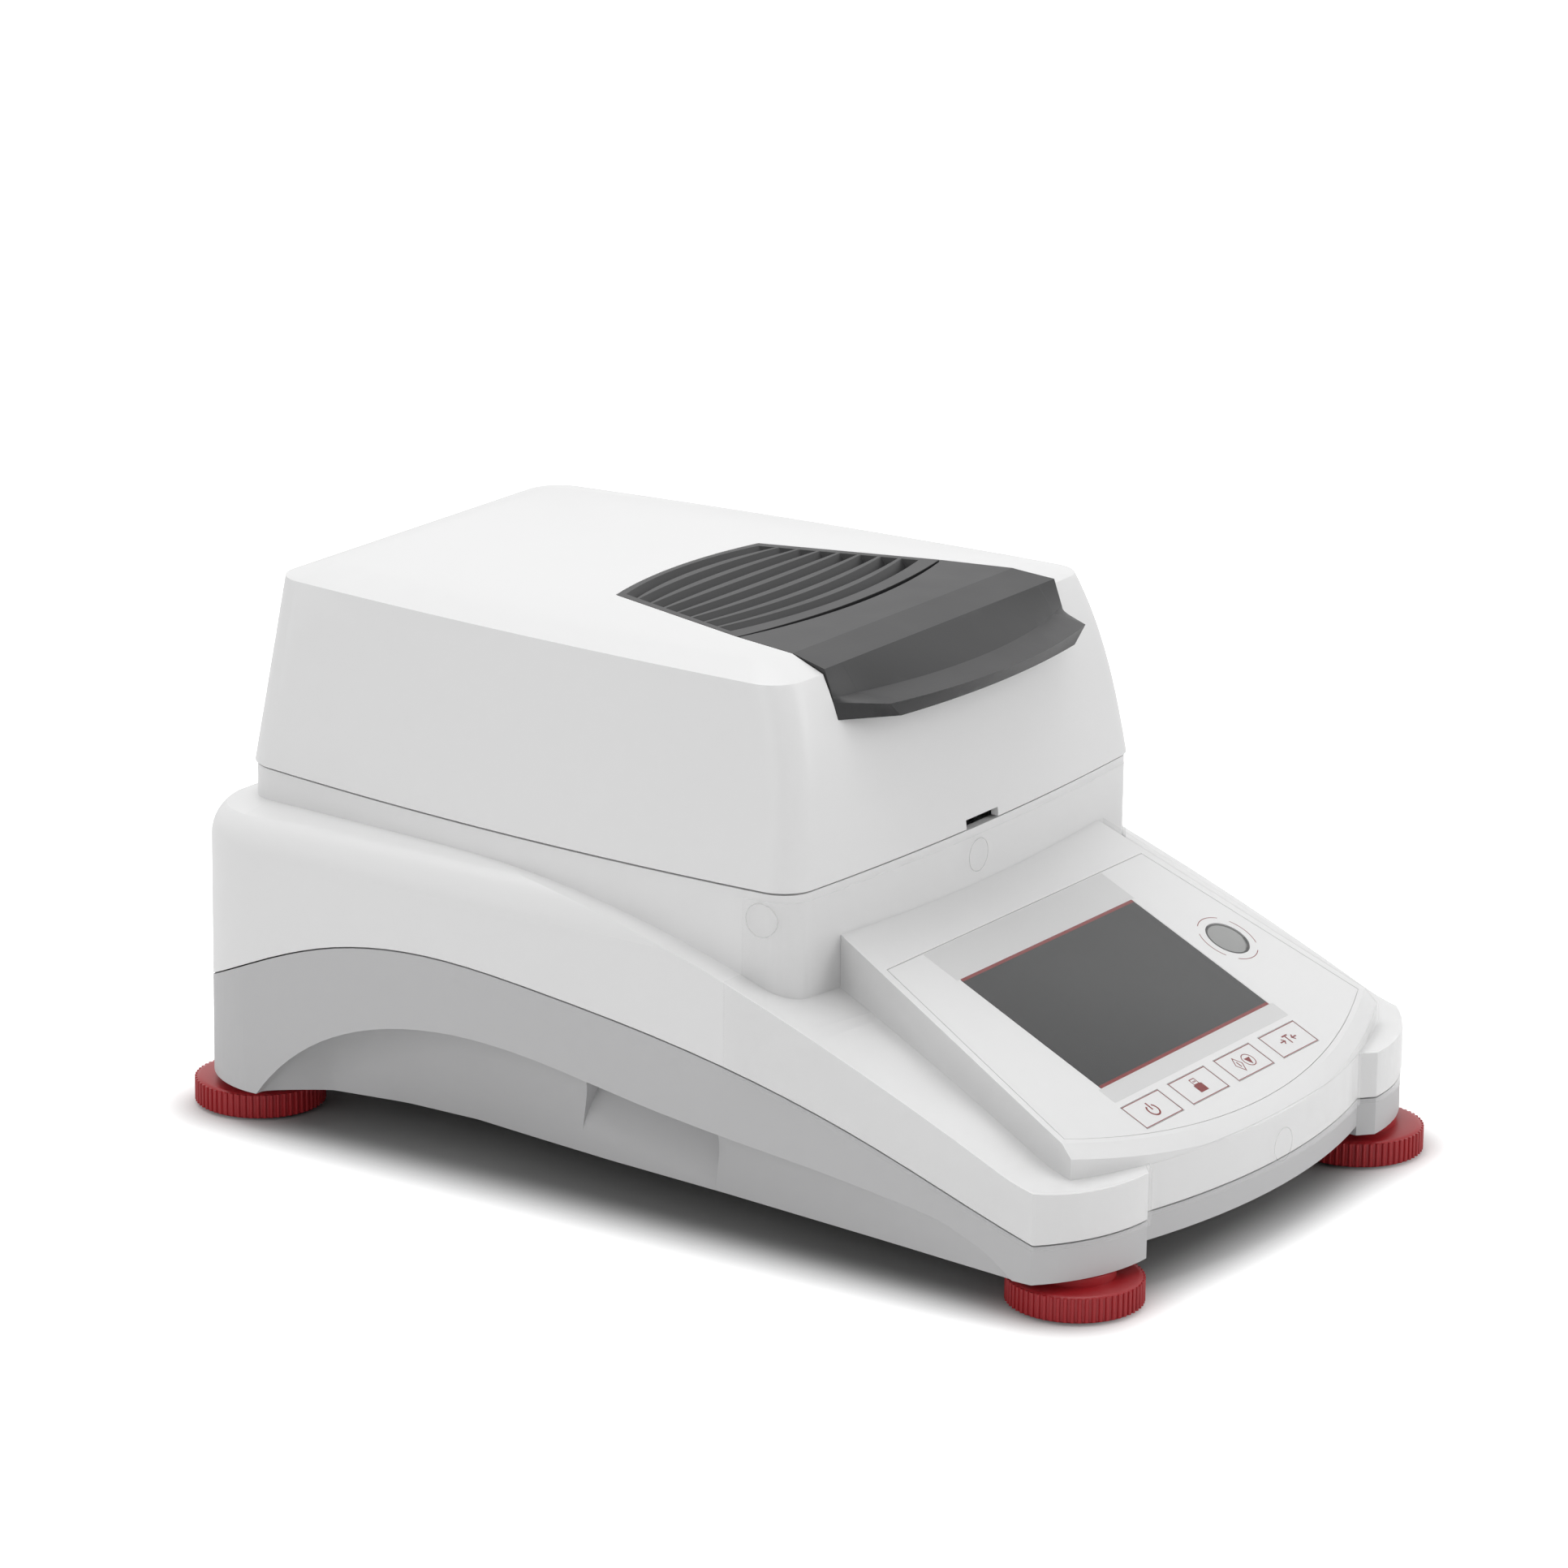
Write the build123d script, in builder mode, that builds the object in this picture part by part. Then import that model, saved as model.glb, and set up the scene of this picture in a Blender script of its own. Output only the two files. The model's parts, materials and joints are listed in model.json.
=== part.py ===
import os
from math import cos, pi, radians, sin, tan

from build123d import *

os.makedirs("parts", exist_ok=True)

# Frame: the middle of the footprint on the bench, front towards -Y, up +Z. Millimetres.

lid_seam = 108.9            # seam under the lid, which the upper heights follow

# Base, seen from above
base_width = 210.0
side_front = 149.5          # the sides run back from here
side_rear = 137.0           # the rear corners start here
rear_face = 166.3
front_bow = 169.0           # front wall, on the middle line
front_arc = 237.0           # radius of the bowed front wall
horn_half = 66.5            # inner corner of each front horn
horn_front = 164.7
horn_chamfer = 4.5
base_bottom = 12.0
front_bottom = 15.0         # underside of the wall between the horns
front_ledge = 50.0
wall = 2.5
seam_gap = 0.5              # shadow line between the two housings
fit = 0.3                   # clearance round a piece that sits in an opening

# Shoulder line of the base, seen from the side
crown_y = 68.0
collar_rise = 8.4
crown_z = lid_seam - collar_rise
break_drop = 18.3
shoulder_break = (-41.3, crown_z - break_drop)
shoulder_front = (-138.0, 43.6)
horn_top = 38.2
rear_drop = 3.0
rear_round = 12.0

# Seam between the housings, seen from the side
seam_front = (-150.0, 23.8)
seam_points = ((-94.3, 42.5), (-33.9, 57.6), (28.2, 66.4), (70.6, 69.1), (103.0, 65.1), (136.1, 53.5))
seam_rear = (190.0, 30.0)

# Scooped side and its grip pocket
scoop_depth = 18.0
scoop_round = 13.0
scoop_points = ((-90.4, 25.5), (-20.0, 36.5), (62.0, 46.0), (103.0, 36.5))
scoop_front = (-146.0, 11.0)
scoop_rear = (134.0, 11.0)
grip_length = 52.0
grip_middle = -7.5
grip_top = 36.2
grip_height = 21.0
grip_angle = 7.4
grip_depth = 9.5
grip_round = 3.0

# Raised control panel
panel_tilt = 25.6
panel_y = -113.6
panel_drop = 34.3
panel_z = crown_z - panel_drop
panel_rear_y = -60.0
panel_rear_half = 71.5
panel_front_y = -151.5
panel_front_half = 88.0
panel_bevel = 4.0
panel_bevel_drop = 2.2
overlay_thickness = 0.6
overlay_rear_y = -76.4
overlay_rear_half = 71.0
overlay_front_half = 84.5
overlay_front_y = -147.0
overlay_bow = 163.6
screen_x = -2.75
screen_width = 96.0
screen_height = 54.5
key_width = 20.4
key_height = 10.2
key_row_s = -41.5           # down the panel's slope from its middle
key_first_x = -42.6
key_pitch = 26.1
key_travel = 0.4
key_gap = 0.25
level_x = 61.7
level_radius = 7.2

# Collar and lid, seen from above
lid_gap = 0.8
collar_inset = 0.8
collar_wall = 3.0
lid_front_half = 95.9
lid_mid_half = 94.0
lid_rear_half = 80.0
lid_mid_y = 51.5
lid_front_y = 61.0
lid_front_bow = 2.3
lid_rear_y = 158.0
lid_corner = 11.0
lid_rear_corner = 15.0
lid_height = 58.6
lid_crown = 3.5
lid_edge_z = lid_seam + lid_height
lid_top = lid_edge_z + lid_crown
lid_wall = 2.5
notch_half = 8.8
notch_height = 3.2

# Dark insert in the lid
grille_rear_half = 38.1
grille_rear_y = 45.8
grille_rear_bow = 4.5
gap_half = 55.0
gap_y = -10.2
gap_bow = 6.2
handle_half = 63.4
handle_edge_y = -47.3
handle_edge_drop = 1.9
handle_edge_z = lid_top - handle_edge_drop
handle_crease_y = -34.0
insert_depth = 4.0
slot_count = 8
slat_top = 1.1
lip_root_y = -50.3
lip_root_drop = 10.0
lip_root_z = lid_top - lip_root_drop
lip_inner_y = -61.0
lip_corner_half = 54.0
lip_corner_y = -64.6
lip_bow_y = -71.5
lip_slope = 1.6
lip_edge_z = lip_root_z - lip_slope
lip_height = 5.0
lip_bottom_z = lip_edge_z - lip_height
lip_undercut = 3.2
lip_side_y = -50.6
lip_flare = 2.0
lip_corner_cut = 6.0
handle_back_y = -30.0
ledge_drop = 6.0
ledge_z = lid_top - ledge_drop
ledge_width = 3.0
slot_rear_y = 43.8
slot_rear_half = 35.4
slot_front_y = -5.4
slot_front_half = 50.9
slat_lean = 0.7
gap_width = 0.8
gap_spread = 1.4            # how much wider the gap is on the middle line
top_front_y = -34.0
top_front_half = 73.0
top_mid_half = 68.5
top_rear_half = 56.0
top_rear_y = 141.0
top_corner = 7.0

# Chamber and weighing train
chamber_y = 12.0
deck_drop = 5.9
deck_top = lid_seam - deck_drop
deck_thickness = 2.5
chamber_radius = 60.0
tray_depth = 15.0
tray_floor = deck_top - tray_depth
sheet = 1.0
stem_radius = 3.0
stem_hole = 7.0
support_rise = 9.2
support_z = tray_floor + support_rise
support_arm = 38.0
support_bar = 4.0
support_thick = 1.6
weigh_travel = 0.4
pan_radius = 45.0
pan_rim = 47.5
pan_height = 6.0
pan_wall = 0.5
handler_inner = 46.3
handler_outer = 50.5
handler_rise = 14.6
handler_z = tray_floor + handler_rise
handler_thick = 1.2
lift_travel = 8.0
shield_inner = 52.5
shield_rise = 3.0
shield_top = deck_top + shield_rise

# Heater in the lid
glass_radius = 54.0
glass_thick = 3.0
bezel_width = 5.0
lamp_ring = 34.0
lamp_tube = 5.0
reflector_radius = 58.0
lamp_gap = 0.3
bezel_collar = 56.0
bezel_flange = 60.0
shield_place = 5.1
shield_z = lid_seam + shield_place
collar_height = 5.0
glass_z = shield_z + collar_height    # top of the bezel's collar
lamp_height = 17.0
lamp_z = shield_z + lamp_height
reflector_height = 11.0
reflector_z = lamp_z + reflector_height
shield_thick = 1.2
socket_width = 20.0
sensor_radius = 1.5
sensor_place = 45.0
lid_screw_length = 12.0
cell_width = 16.0
cell_length = 60.0
cell_height = 16.0
cell_drop = 22.0
cell_z = tray_floor - cell_drop
cell_bore = 9.0
cell_foot = 20.0
support_hub = 6.0
pan_seat = 0.05
stem_bottom = cell_z + cell_height / 2 + weigh_travel + 0.1
handle_slot = 22.0
handler_grip = 7.0

# Cover, display and level
cover_wall = 0.8
cover_overlap = 1.2         # how far its rim hangs below the seam
cover_rear = -42.0
cover_drop = 2.6
cover_top = lid_seam - cover_drop
window_thick = 2.5
module_thick = 6.0
key_thick = 3.0
level_depth = 8.0

# Feet
foot_inset = 23.3
foot_x = base_width / 2 - foot_inset
foot_y = 150.0
foot_radius = 20.5
foot_rim = 8.3
foot_pad_radius = 13.0
foot_pad_height = 2.0
rib_count = 60
rib_depth = 0.6
stud_radius = 4.0
stud_length = 22.0
thread_clearance = 0.05
foot_travel = 6.0
wheel_bottom = 0.6
foot_hub = 12.0
pad_pin = 3.0
pad_pin_top = 7.0
boss_radius = 10.0
bush_radius = 7.0
bush_top = 32.0

# Fasteners and boards in the base
screw_inset = 33.0
screw_x = base_width / 2 - screw_inset
screw_y = 126.0
screw_boss = 4.5
screw_head = 3.0
screw_shank = 1.75
screw_sink = 6.0
boss_joint = 30.0
post_radius = 3.0
board_z = 19.0
board_thick = 1.6
main_board_size = (120.0, 70.0)
main_board_y = -84.0
power_board_size = (60.0, 46.0)
power_board_inset = 55.0
power_board_at = (power_board_inset - base_width / 2, 94.0)
transformer = (30.0, 26.0, 20.0)
transformer_x = -14.0
capacitors = ((7.0, 24.0), (5.0, 18.0))     # radius and height
capacitor_x = 20.0
capacitor_pitch = 24.0
chip = (22.0, 3.0)
chip_x = -20.0
plug_strip = (30.0, 10.0, 6.0)
plug_strip_at = (30.0, 18.0)

# Hinge
hinge_y = 163.0
hinge_drop = 2.9
hinge_z = lid_seam - hinge_drop
hinge_x = 42.0
hinge_length = 24.0
pin_radius = 2.0
pin_clearance = 0.05
knuckle_radius = 2.9
knuckle_gap = 0.3
lid_knuckle = 13.4
bracket_depth = 7.0
bracket_drop = 15.5
rear_foot = crown_z - bracket_drop
arm_rise = 9.1
arm_top = lid_seam + arm_rise
arm_root = 150.0

# Rear wall
fan_x = 52.0
fan_drop = 34.5
fan_z = crown_z - fan_drop
fan_size = 40.0
fan_depth = 12.0
blade_count = 7
fan_web = 1.5
fan_gap = 0.4
fan_hub = 8.0
fan_tip = 17.6
fan_shaft = 2.0
blade_thick = 1.4
inlet_depth = 18.0
socket_depth = 12.0
vent_pitch = 5.5
vent_count = 6
vent_slot = 2.6
rear_z = 62.0
inlet_x = -56.0
inlet_width = 28.0
inlet_height = 20.0
rear_sockets = ((-20.0, 25.0, 9.0), (2.0, 9.0, 8.0), (20.0, 13.5, 6.5))

panel_slope = tan(radians(panel_tilt))
collar_top = lid_seam - lid_gap / 2
lid_bottom = lid_seam + lid_gap / 2
panel_plane = Plane((0, panel_y, panel_z), x_dir=(1, 0, 0), z_dir=(0, -sin(radians(panel_tilt)), cos(radians(panel_tilt))))
post_places = [(sx * (main_board_size[0] / 2 - 5), main_board_y + sy * (main_board_size[1] / 2 - 5))
               for sx in (-1, 1) for sy in (-1, 1)]
post_places += [(power_board_at[0] + sx * (power_board_size[0] / 2 - 4),
                 power_board_at[1] + sy * (power_board_size[1] / 2 - 4)) for sx in (-1, 1) for sy in (-1, 1)]
nodes = {}


def save(piece, name):
    """Label a finished piece and write it as its own file."""
    piece.part.label = name
    export_step(piece.part, f"parts/{name}.step")
    nodes[name] = piece.part


def arc_y(x, radius, bow):
    """Y of the bowed front arc at x."""
    return -bow + radius - (radius * radius - x * x) ** 0.5


def plan_face(grow=0.0):
    """Outline of the base from above."""
    half = base_width / 2
    corner = rear_face - side_rear
    inner = horn_half - horn_chamfer
    inner_y = arc_y(inner, front_arc, front_bow)
    with BuildSketch() as plan:
        with BuildLine():
            ThreePointArc((-inner, inner_y), (0, -front_bow), (inner, inner_y))
            Line((inner, inner_y), (horn_half, -horn_front))
            ThreePointArc((horn_half, -horn_front), (87.0, -161.0), (half, -side_front))
            Line((half, -side_front), (half, side_rear))
            ThreePointArc((half, side_rear), (half - 0.32 * corner, side_rear + 0.68 * corner),
                          (half - corner, rear_face))
            Line((half - corner, rear_face), (corner - half, rear_face))
            ThreePointArc((corner - half, rear_face), (0.32 * corner - half, side_rear + 0.68 * corner),
                          (-half, side_rear))
            Line((-half, side_rear), (-half, -side_front))
            ThreePointArc((-half, -side_front), (-87.0, -161.0), (-horn_half, -horn_front))
            Line((-horn_half, -horn_front), (-inner, inner_y))
        make_face()
        if grow:
            offset(amount=grow, kind=Kind.INTERSECTION)
    return plan.sketch


def shoulder_face(grow=0.0):
    """Side view of the base under its shoulder line."""
    with BuildSketch(Plane.YZ) as view:
        with BuildLine():
            crest = (crown_y, crown_z + grow)
            joint = (shoulder_break[0], shoulder_break[1] + grow)
            rear = TangentArc(crest, (200.0, crown_z + grow - rear_drop * (132.0 / 98.3) ** 2), tangent=(1, 0))
            first = TangentArc(crest, joint, tangent=(-1, 0))
            second = TangentArc(joint, (shoulder_front[0], shoulder_front[1] + grow), tangent=first % 1)
            nose = Spline(second @ 1, (-horn_front, horn_top + grow), tangents=[second % 1, (-1, 0)])
            Polyline(nose @ 1, (-200.0, horn_top + grow), (-200.0, 0), (200.0, 0), rear @ 1)
        make_face()
    return view.sketch


def below_seam(lift=0.0):
    """Side view of everything under the seam between the housings."""
    with BuildSketch(Plane.YZ) as view:
        with BuildLine():
            points = [(y, z + lift) for y, z in (seam_front, *seam_points)]
            start = Line((-250.0, seam_front[1] + lift), points[0])
            curve = Spline(*points, (170.0, 38.0 + lift), tangents=[(1, 0.3), (1, -0.45)])
            Polyline(curve @ 1, (seam_rear[0], seam_rear[1] + lift), (seam_rear[0], -50), (-250.0, -50), start @ 0)
        make_face()
    return view.sketch


def lid_face(z, inset=0.0):
    """Outline of the lid (and of the collar under it) at one height."""
    t = (z - lid_seam) / (lid_edge_z - lid_seam)
    lean = 5.9 * t + 7.9 * max(t, 0) ** 3
    front = -(lid_front_y - lean - inset)
    bow = lid_front_bow * (1 - 0.6 * t)
    half = lid_front_half - 12.1 * t - inset
    middle = lid_mid_half - 12.6 * t - inset
    back = lid_rear_half - 8.0 * t - inset
    rear = lid_rear_y - 7.0 * t - inset
    return lid_outline(front, bow, half, middle, back, rear, max(lid_corner - inset, 1.5),
                       max(lid_rear_corner - 3 * t - inset, 1.5), z)


def lid_outline(front, bow, half, middle, back, rear, corner, rear_corner, z):
    """Closed outline with a bowed front, bowed sides and rounded corners."""
    with BuildSketch(Plane.XY.offset(z)) as face:
        with BuildLine():
            ThreePointArc((-half, front + bow), (0, front - bow), (half, front + bow))
            ThreePointArc((half, front + bow), (middle, lid_mid_y), (back, rear))
            Line((back, rear), (-back, rear))
            ThreePointArc((-back, rear), (-middle, lid_mid_y), (-half, front + bow))
        make_face()
        fillet(face.vertices().group_by(Axis.Y)[0], radius=corner)
        fillet(face.vertices().group_by(Axis.Y)[-1], radius=rear_corner)
    return face.sketch


def panel_form(grow=0.0):
    """The raised plate that carries the control panel."""
    with BuildPart() as plate:
        with BuildSketch(Plane.XY.offset(base_bottom)):
            with BuildLine():
                Line((-panel_rear_half, panel_rear_y), (-panel_front_half, panel_front_y))
                ThreePointArc((-panel_front_half, panel_front_y), (0, -front_bow), (panel_front_half, panel_front_y))
                Line((panel_front_half, panel_front_y), (panel_rear_half, panel_rear_y))
                Line((panel_rear_half, panel_rear_y), (-panel_rear_half, panel_rear_y))
            make_face()
            if grow:
                offset(amount=grow, kind=Kind.INTERSECTION)
        extrude(amount=120)
        split(bisect_by=panel_plane.offset(grow), keep=Keep.BOTTOM)
        sloped = plate.faces().filter_by(lambda f: abs(f.normal_at().Z - cos(radians(panel_tilt))) < 0.001)
        front_edge = sloped.edges().group_by(Axis.Y)[0]
        chamfer(front_edge, length=panel_bevel, length2=panel_bevel_drop, reference=sloped[0])
    return plate.part


def base_form(grow=0.0, collar=collar_top, collar_grow=0.0):
    """Outer form of the whole base, grown outwards by a skin."""
    with BuildPart() as form:
        extrude(plan_face(grow), amount=crown_z + grow)
        rim = form.faces().sort_by(Axis.Z)[-1].edges()
        fillet(rim.filter_by(lambda e: e.center().Y > side_rear), radius=rear_round + grow)
        extrude(shoulder_face(grow), amount=base_width, both=True, mode=Mode.INTERSECT)
        add(panel_form(grow))
        extrude(lid_face(collar, collar_inset - grow - collar_grow), amount=base_bottom - collar)
    return form.part


def slope_at(y):
    """Distance up the control panel's slope for a Y of the base."""
    return (y - panel_y) / cos(radians(panel_tilt))


def scoop_form(grow=0.0):
    """What is scooped out of the right side under the crease."""
    inner = base_width / 2 - scoop_depth - grow
    with BuildPart() as scoop:
        with BuildSketch(Plane.YZ.offset(inner)):
            with BuildLine():
                points = [(y, z + grow) for y, z in (scoop_front, *scoop_points, scoop_rear)]
                crease = Spline(*points)
                Polyline(crease @ 1, (scoop_rear[0], -10), (scoop_front[0], -10), crease @ 0)
            make_face()
        extrude(amount=scoop_depth + grow + 5)
        root = scoop.edges().filter_by(GeomType.BSPLINE).group_by(Axis.X)[0]
        fillet(root, radius=scoop_round)
        turn = radians(grip_angle)
        across = Plane((0, grip_middle, grip_top), x_dir=(1, 0, 0), z_dir=(0, cos(turn), sin(turn)))
        with BuildSketch(across):
            with BuildLine():
                deep = inner - grip_depth
                back = ThreePointArc((deep, -grow), (deep + 0.22 * grip_depth, 0.55 * grip_height), (inner, grip_height))
                Polyline(back @ 1, (base_width, grip_height), (base_width, -grow), back @ 0)
            make_face()
        grip = extrude(amount=grip_length / 2 + grow, both=True, mode=Mode.PRIVATE)
        roof = grip.edges().filter_by(lambda e: e.center().X < deep + 0.1)
        add(grip.fillet(grip_round, roof))
    return scoop.part


def ring(outer, inner, low, high, x=0.0, y=0.0):
    """Upright tube."""
    with BuildPart() as tube:
        with BuildSketch(Plane.XY.offset(low)):
            with Locations((x, y)):
                Circle(outer)
                if inner:
                    Circle(inner, mode=Mode.SUBTRACT)
        extrude(amount=high - low)
    return tube.part


def block(width, length, low, high, x=0.0, y=0.0):
    """Upright box on its middle."""
    with BuildPart() as box:
        with BuildSketch(Plane.XY.offset(low)):
            with Locations((x, y)):
                Rectangle(width, length)
        extrude(amount=high - low)
    return box.part


foot_places = [(x, y) for y in (-foot_y, foot_y) for x in (-foot_x, foot_x)]
screw_places = [(x, y) for y in (-screw_y, screw_y) for x in (-screw_x, screw_x)]
key_places = [(key_first_x + i * key_pitch, key_row_s) for i in range(4)]

# Lower housing
with BuildPart() as cavity:
    with BuildSketch(Plane.XY.offset(base_bottom + wall)):
        add(plan_face(-wall))
    extrude(amount=lid_top)
    raised = front_bottom + wall
    add(block(2 * (horn_half - horn_chamfer + wall), front_ledge, base_bottom, raised, 0, -front_bow), mode=Mode.SUBTRACT)
    scoop = scoop_form(wall)
    add(scoop, mode=Mode.SUBTRACT)
    add(scoop.mirror(Plane.YZ), mode=Mode.SUBTRACT)
    for x, y in foot_places:
        add(ring(boss_radius, 0, base_bottom, bush_top, x, y), mode=Mode.SUBTRACT)
    for x, y in screw_places:
        add(ring(screw_boss, 0, base_bottom, boss_joint - fit, x, y), mode=Mode.SUBTRACT)
    for x, y in post_places:
        add(ring(post_radius, 0, base_bottom, board_z, x, y), mode=Mode.SUBTRACT)

with BuildPart() as lower_housing:
    with BuildSketch(Plane.XY.offset(base_bottom)):
        add(plan_face())
    extrude(amount=crown_z)
    extrude(below_seam(-seam_gap / 2), amount=base_width, both=True, mode=Mode.INTERSECT)
    add(block(2 * (horn_half - horn_chamfer), front_ledge - 2 * wall, base_bottom, front_bottom, 0, -front_bow),
        mode=Mode.SUBTRACT)
    scoop = scoop_form()
    add(scoop, mode=Mode.SUBTRACT)
    add(scoop.mirror(Plane.YZ), mode=Mode.SUBTRACT)
    add(cavity.part, mode=Mode.SUBTRACT)
    for x, y in foot_places:
        add(ring(bush_radius, 0, base_bottom, bush_top, x, y), mode=Mode.SUBTRACT)
    for x, y in screw_places:
        add(ring(screw_head + fit, 0, base_bottom, base_bottom + screw_sink, x, y), mode=Mode.SUBTRACT)
        add(ring(screw_shank + fit, 0, base_bottom, boss_joint, x, y), mode=Mode.SUBTRACT)
save(lower_housing, "lower_housing")

# Upper housing
with BuildPart() as bosses:
    for x, y in screw_places:
        add(ring(screw_boss, screw_shank, boss_joint, lid_seam, x, y))
    add(base_form(-wall / 2, deck_top - wall / 2), mode=Mode.INTERSECT)

with BuildPart() as upper_housing:
    add(base_form())
    extrude(below_seam(seam_gap / 2), amount=base_width, both=True, mode=Mode.SUBTRACT)
    add(base_form(-wall, deck_top - deck_thickness, -collar_wall + wall), mode=Mode.SUBTRACT)
    extrude(lid_face(collar_top, collar_inset + collar_wall), amount=deck_top - collar_top, mode=Mode.SUBTRACT)
    add(bosses.part)
    add(ring(chamber_radius, 0, deck_top - 10, deck_top + 1, 0, chamber_y), mode=Mode.SUBTRACT)
    with BuildSketch(panel_plane.offset(-overlay_thickness)):
        with BuildLine():
            edge = Polyline((-overlay_front_half - fit, slope_at(overlay_front_y)),
                            (-overlay_rear_half - fit, slope_at(overlay_rear_y) + fit),
                            (overlay_rear_half + fit, slope_at(overlay_rear_y) + fit),
                            (overlay_front_half + fit, slope_at(overlay_front_y)))
            ThreePointArc(edge @ 0, (0, slope_at(-overlay_bow) - fit), edge @ 1)
        make_face()
    extrude(amount=overlay_thickness + 1, mode=Mode.SUBTRACT)
    with BuildSketch(panel_plane.offset(-4 * wall)):
        with Locations((screen_x, 0)):
            Rectangle(screen_width + 2 * fit, screen_height + 2 * fit)
        with Locations(*key_places):
            Rectangle(key_width + 2 * key_gap, key_height + 2 * key_gap)
        with Locations((level_x, 0)):
            Circle(level_radius + fit)
    extrude(amount=4 * wall, mode=Mode.SUBTRACT)
    with BuildSketch(Plane.XZ.offset(-rear_face - 1)):
        with Locations((fan_x, fan_z)):
            with GridLocations(vent_pitch, 0, vent_count, 1):
                SlotOverall(fan_size * 0.8, vent_slot, rotation=90)
        with Locations((inlet_x, rear_z)):
            Rectangle(inlet_width, inlet_height)
        for x, width, height in rear_sockets:
            with Locations((x, rear_z)):
                Rectangle(width + 2 * fit, height + 2 * fit)
    extrude(amount=2 * wall, mode=Mode.SUBTRACT)
save(upper_housing, "upper_housing")

# Clear in-use cover over the front of the upper housing
with BuildPart() as in_use_cover:
    add(base_form(fit + cover_wall))
    add(base_form(fit), mode=Mode.SUBTRACT)
    extrude(below_seam(-cover_overlap), amount=base_width, both=True, mode=Mode.SUBTRACT)
    keep = block(2 * base_width, 200, 0, cover_top, 0, cover_rear - 100)
    add(keep, mode=Mode.INTERSECT)
save(in_use_cover, "in_use_cover")

# Panel overlay, display and keys
with BuildPart() as panel_overlay:
    with BuildSketch(panel_plane.offset(-overlay_thickness)):
        with BuildLine():
            edge = Polyline((-overlay_front_half, slope_at(overlay_front_y)),
                            (-overlay_rear_half, slope_at(overlay_rear_y)),
                            (overlay_rear_half, slope_at(overlay_rear_y)),
                            (overlay_front_half, slope_at(overlay_front_y)))
            ThreePointArc(edge @ 0, (0, slope_at(-overlay_bow)), edge @ 1)
        make_face()
        with Locations((screen_x, 0)):
            Rectangle(screen_width + 2 * key_gap, screen_height + 2 * key_gap, mode=Mode.SUBTRACT)
        with Locations(*key_places):
            Rectangle(key_width + 2 * key_gap, key_height + 2 * key_gap, mode=Mode.SUBTRACT)
        with Locations((level_x, 0)):
            Circle(level_radius + key_gap, mode=Mode.SUBTRACT)
    extrude(amount=overlay_thickness)
save(panel_overlay, "panel_overlay")

with BuildPart() as display_window:
    with BuildSketch(panel_plane.offset(-window_thick)):
        with Locations((screen_x, 0)):
            Rectangle(screen_width, screen_height)
    extrude(amount=window_thick)
save(display_window, "display_window")

with BuildPart() as display_module:
    with BuildSketch(panel_plane.offset(-window_thick - module_thick)):
        with Locations((screen_x, 0)):
            Rectangle(screen_width + 6, screen_height + 4)
    extrude(amount=module_thick)
save(display_module, "display_module")

for name, (x, s) in zip(("key_power", "key_memory", "key_start_stop", "key_tare"), key_places):
    with BuildPart() as key:
        with BuildSketch(panel_plane.offset(-key_thick)):
            with Locations((x, s)):
                RectangleRounded(key_width, key_height, 0.4)
        extrude(amount=key_thick)
    save(key, name)

with BuildPart() as key_board:
    with BuildSketch(panel_plane.offset(-key_thick - key_travel - key_gap - board_thick)):
        with Locations((key_first_x + 1.5 * key_pitch, key_row_s)):
            Rectangle(4 * key_pitch, key_height + 4)
    extrude(amount=board_thick)
    with BuildSketch(panel_plane.offset(-key_thick - key_travel - key_gap)):
        with Locations((key_first_x + 1.5 * key_pitch, key_row_s)):
            with GridLocations(key_pitch, 0, 3, 1):
                Rectangle(2, key_height)
    extrude(amount=key_thick + key_travel + key_gap - wall)
save(key_board, "key_board")

with BuildPart() as level_cup:
    with BuildSketch(panel_plane.offset(-level_depth)):
        with Locations((level_x, 0)):
            Circle(level_radius)
    extrude(amount=level_depth - fit)
    with BuildSketch(panel_plane.offset(-level_depth + sheet)):
        with Locations((level_x, 0)):
            Circle(level_radius - sheet)
    extrude(amount=level_depth, mode=Mode.SUBTRACT)
    with BuildSketch(panel_plane.offset(-wall - sheet)):
        with Locations((level_x, 0)):
            Circle(level_radius + 2)
            Circle(level_radius - sheet / 2, mode=Mode.SUBTRACT)
    extrude(amount=sheet)
save(level_cup, "level_cup")

with BuildPart() as level_vial:
    with BuildSketch(panel_plane.offset(-level_depth + sheet)):
        with Locations((level_x, 0)):
            Circle(level_radius - sheet - thread_clearance)
    extrude(amount=level_depth - sheet - fit)
    lens = level_vial.faces().sort_by(Axis.Z)[-1].edges()
    fillet(lens, radius=sheet)
save(level_vial, "level_vial")

# Chamber and weighing train
with BuildPart() as chamber_tray:
    with BuildSketch(Plane.XZ):
        with BuildLine():
            Polyline((stem_hole, tray_floor), (chamber_radius - fit, tray_floor), (chamber_radius - fit, deck_top),
                     (chamber_radius + 3, deck_top), (chamber_radius + 3, deck_top + sheet),
                     (chamber_radius - fit - sheet, deck_top + sheet), (chamber_radius - fit - sheet, tray_floor + sheet),
                     (stem_hole, tray_floor + sheet), close=True)
        make_face()
    revolve(axis=Axis.Z)
chamber_tray.part = chamber_tray.part.moved(Location((0, chamber_y, 0)))
save(chamber_tray, "chamber_tray")

with BuildPart() as draft_shield:
    add(ring(shield_inner + sheet, shield_inner, tray_floor + sheet, shield_top, 0, chamber_y))
    add(block(handle_slot, 2 * sheet + 4, handler_z - 1, shield_top + 1, 0, chamber_y - shield_inner),
        mode=Mode.SUBTRACT)
save(draft_shield, "draft_shield")

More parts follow.
